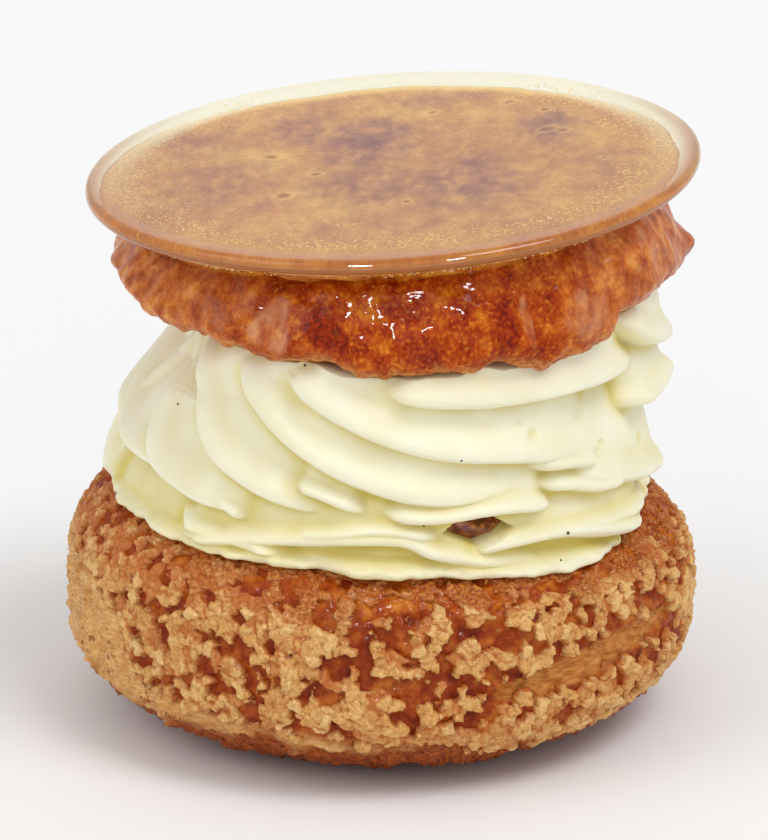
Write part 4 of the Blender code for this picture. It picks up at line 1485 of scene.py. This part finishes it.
draw = np.random.default_rng(SPARKLE_DRAW)
bearing = draw.uniform(-SPARKLE_SPREAD, SPARKLE_SPREAD, SPARKLE_COUNT)
inwards = draw.gamma(*SPARKLE_GAMMA, SPARKLE_COUNT).clip(0.0, SPARKLE_REACH)
radius = DISC_RADIUS - SPARKLE_INSET - inwards - bumps(bearing, SPARKLE_CLEAR_OF_FRONT)
level = draw.uniform(*SPARKLE_LEVELS, SPARKLE_COUNT)
on_skirt = draw.uniform(0.0, 1.0, SPARKLE_COUNT) < SKIRT_SHARE
share = draw.uniform(*SKIRT_BAND, SPARKLE_COUNT)
side_shares, side_levels, _ = np.array(POOL_SIDE[::-1]).T
skirt_level = np.interp(share, side_shares, side_levels) - DISC_THICKNESS / 2
radius = np.where(on_skirt, share * pool_radius(bearing), radius)
level = np.where(on_skirt, skirt_level, level)
x, y, _ = round_disc_axis(bearing, radius, level)
size = draw.uniform(*SPARKLE_SIZES, SPARKLE_COUNT)
stretch = draw.uniform(*SPARKLE_STRETCH, SPARKLE_COUNT)
sizes = np.stack([size * stretch, size, size * SPARKLE_SQUASH], axis=-1)
places = np.stack([x, y, disc_plane(x, y) + level], axis=-1)
sparkles = scattered("gold_sparkles", places, sizes)
set_in_place(sparkles, "caramel_disc")

# %% [markdown]
# A sugar crystal is a tiny mirror. A warm gold base with a full, smooth coat is enough, as no
# one will ever see one larger than a spark, but its tone still drifts from gold to pale.

# %% The sparkles' finish
def sparkle_finish():
    finish = Finish("gold_sugar_crystal", 0.12, Coat_Weight=1.0, Coat_Roughness=0.03)
    tone = finish.grain(3.0, 1.0)
    finish.use("Base Color", finish.ramp(tone, (0.35, (250, 206, 96)), (0.65, (255, 240, 180))))
    finish.relief((finish.grain(0.1, 1.0), 0.02))
    return finish


sparkle_finish().put_on(sparkles)

# %% [markdown]
# The nut in the gap is a broken piece of caramelised hazelnut. A rough chunk from a ball
# with knocked-off corners is enough, because only its front shows: each break pushes the
# points beyond a plane back onto it, and a little noise roughens what is left.

# %% Make the nut piece
NUT_BEARING, NUT_RADIUS_FROM_AXIS, NUT_HEIGHT = 20.3, 29.6, 31.7
NUT_HALF_SIZE = (5.6, 2.7, 2.9)
NUT_SUBDIVISIONS = 4
NUT_ROUGHNESS = ((0.16, 1.6), (0.08, 5.0))
NUT_MEAN_SIZE = 0.96

# Each break: the direction that it faces, and its distance from the middle of the ball.
NUT_BREAKS = ((0.3, -0.8, 0.5, 0.5), (-0.6, -0.7, 0.1, 0.62), (0.8, -0.5, -0.3, 0.6),
              (-0.2, -0.7, -0.7, 0.55), (-0.5, -0.3, 0.8, 0.6), (0.1, 0.2, 1.0, 0.7))


def make_nut():
    bm = bmesh.new()
    bmesh.ops.create_icosphere(bm, subdivisions=NUT_SUBDIVISIONS, radius=1.0)
    turn = math.radians(NUT_BEARING)
    middle = Vector((*at_bearing(NUT_BEARING, NUT_RADIUS_FROM_AXIS), NUT_HEIGHT))
    for vertex in bm.verts:
        for *facing, reach in NUT_BREAKS:
            facing = Vector(facing).normalized()
            vertex.co -= facing * max(0.0, vertex.co.dot(facing) - reach)
        rough = NUT_MEAN_SIZE + sum(strength * noise.noise(vertex.co * fineness)
                                    for strength, fineness in NUT_ROUGHNESS)
        around, out, up = (a * b * rough for a, b in zip(vertex.co, NUT_HALF_SIZE))
        x = around * math.cos(turn) - out * math.sin(turn)
        y = around * math.sin(turn) + out * math.cos(turn)
        vertex.co = (middle + Vector((x, y, up))) * MM
    mesh = bpy.data.meshes.new("hazelnut_piece")
    bm.to_mesh(mesh)
    bm.free()
    mesh.shade_smooth()
    return add_object("hazelnut_piece", mesh)


nut = make_nut()
set_in_place(nut, "nut_piece")

# %% [markdown]
# Caramelised nut is dark brown with lighter broken faces, and shines where syrup set on it.
# The grain is set to the size of the nut's own flakes, about a millimetre.

# %% The nut's finish
def nut_finish():
    finish = Finish("caramelised_nut", 0.35, Coat_Weight=0.6, Coat_Roughness=0.1)
    mottle = finish.grain(1.1, 4.0)
    finish.use("Base Color", finish.ramp(mottle, (0.3, (58, 14, 2)), (0.48, (124, 50, 16)),
                                         (0.64, (196, 124, 70))))
    finish.relief((mottle, 0.2))
    return finish


nut_finish().put_on(nut)

# %% [markdown]
# The cream is flecked with vanilla seeds: black grains a third of a millimetre across. A
# few have a known place at the front; the others are drawn at random round the rest. Each
# is set on the nearest point of the cream's own rings, so it is half pressed in.

# %% Press in the vanilla seeds
SEED_PLACES = ((8, 33.5), (38, 30.3), (37, 26.9), (15, 41.1), (-55, 42.6), (-17, 51.3))
SEED_COUNT_BACK, SEED_DRAW = 22, 11
SEED_BEARINGS_BACK, SEED_HEIGHTS_BACK = (108, 248), (29, 50)
SEED_HALF_SIZES, SEED_STRETCH, SEED_SUBDIVISIONS = (0.12, 0.2), (0.8, 1.3), 2


def on_cream(seed_bearing, seed_height):
    """The point of the cream's surface nearest to a bearing and a height."""
    turned = (seed_bearing + 180.0) % 360.0 - 180.0
    column = int(np.argmin(np.abs(all_round(CREAM_COLUMNS) - turned)))
    row = int(np.argmin(np.abs(cream_rings[:, column, 2] - seed_height)))
    return cream_rings[row, column]


draw = np.random.default_rng(SEED_DRAW)
places = [*SEED_PLACES, *zip(draw.uniform(*SEED_BEARINGS_BACK, SEED_COUNT_BACK),
                             draw.uniform(*SEED_HEIGHTS_BACK, SEED_COUNT_BACK))]
seed_spots = np.array([on_cream(*place) for place in places])
seed_size = draw.uniform(*SEED_HALF_SIZES, (len(places), 1))
seed_size = seed_size * draw.uniform(*SEED_STRETCH, (len(places), 3))
seeds = scattered("vanilla_seeds", seed_spots, seed_size, SEED_SUBDIVISIONS)
print("vanilla seeds:", len(places))
set_in_place(seeds, "cream")

# %% [markdown]
# Vanilla seeds are near black with a faint brown cast and an oily shine. Noise much smaller
# than a seed gives each its own shade.

# %% The seeds' finish
def seed_finish():
    finish = Finish("vanilla_seed", 0.4, Coat_Weight=0.3, Coat_Roughness=0.2)
    finish.use("Base Color", finish.ramp(finish.grain(0.2, 1.0), (0.35, (18, 14, 14)),
                                         (0.65, (52, 40, 34))))
    finish.relief((finish.grain(0.1, 1.0), 0.02))
    return finish


seed_finish().put_on(seeds)
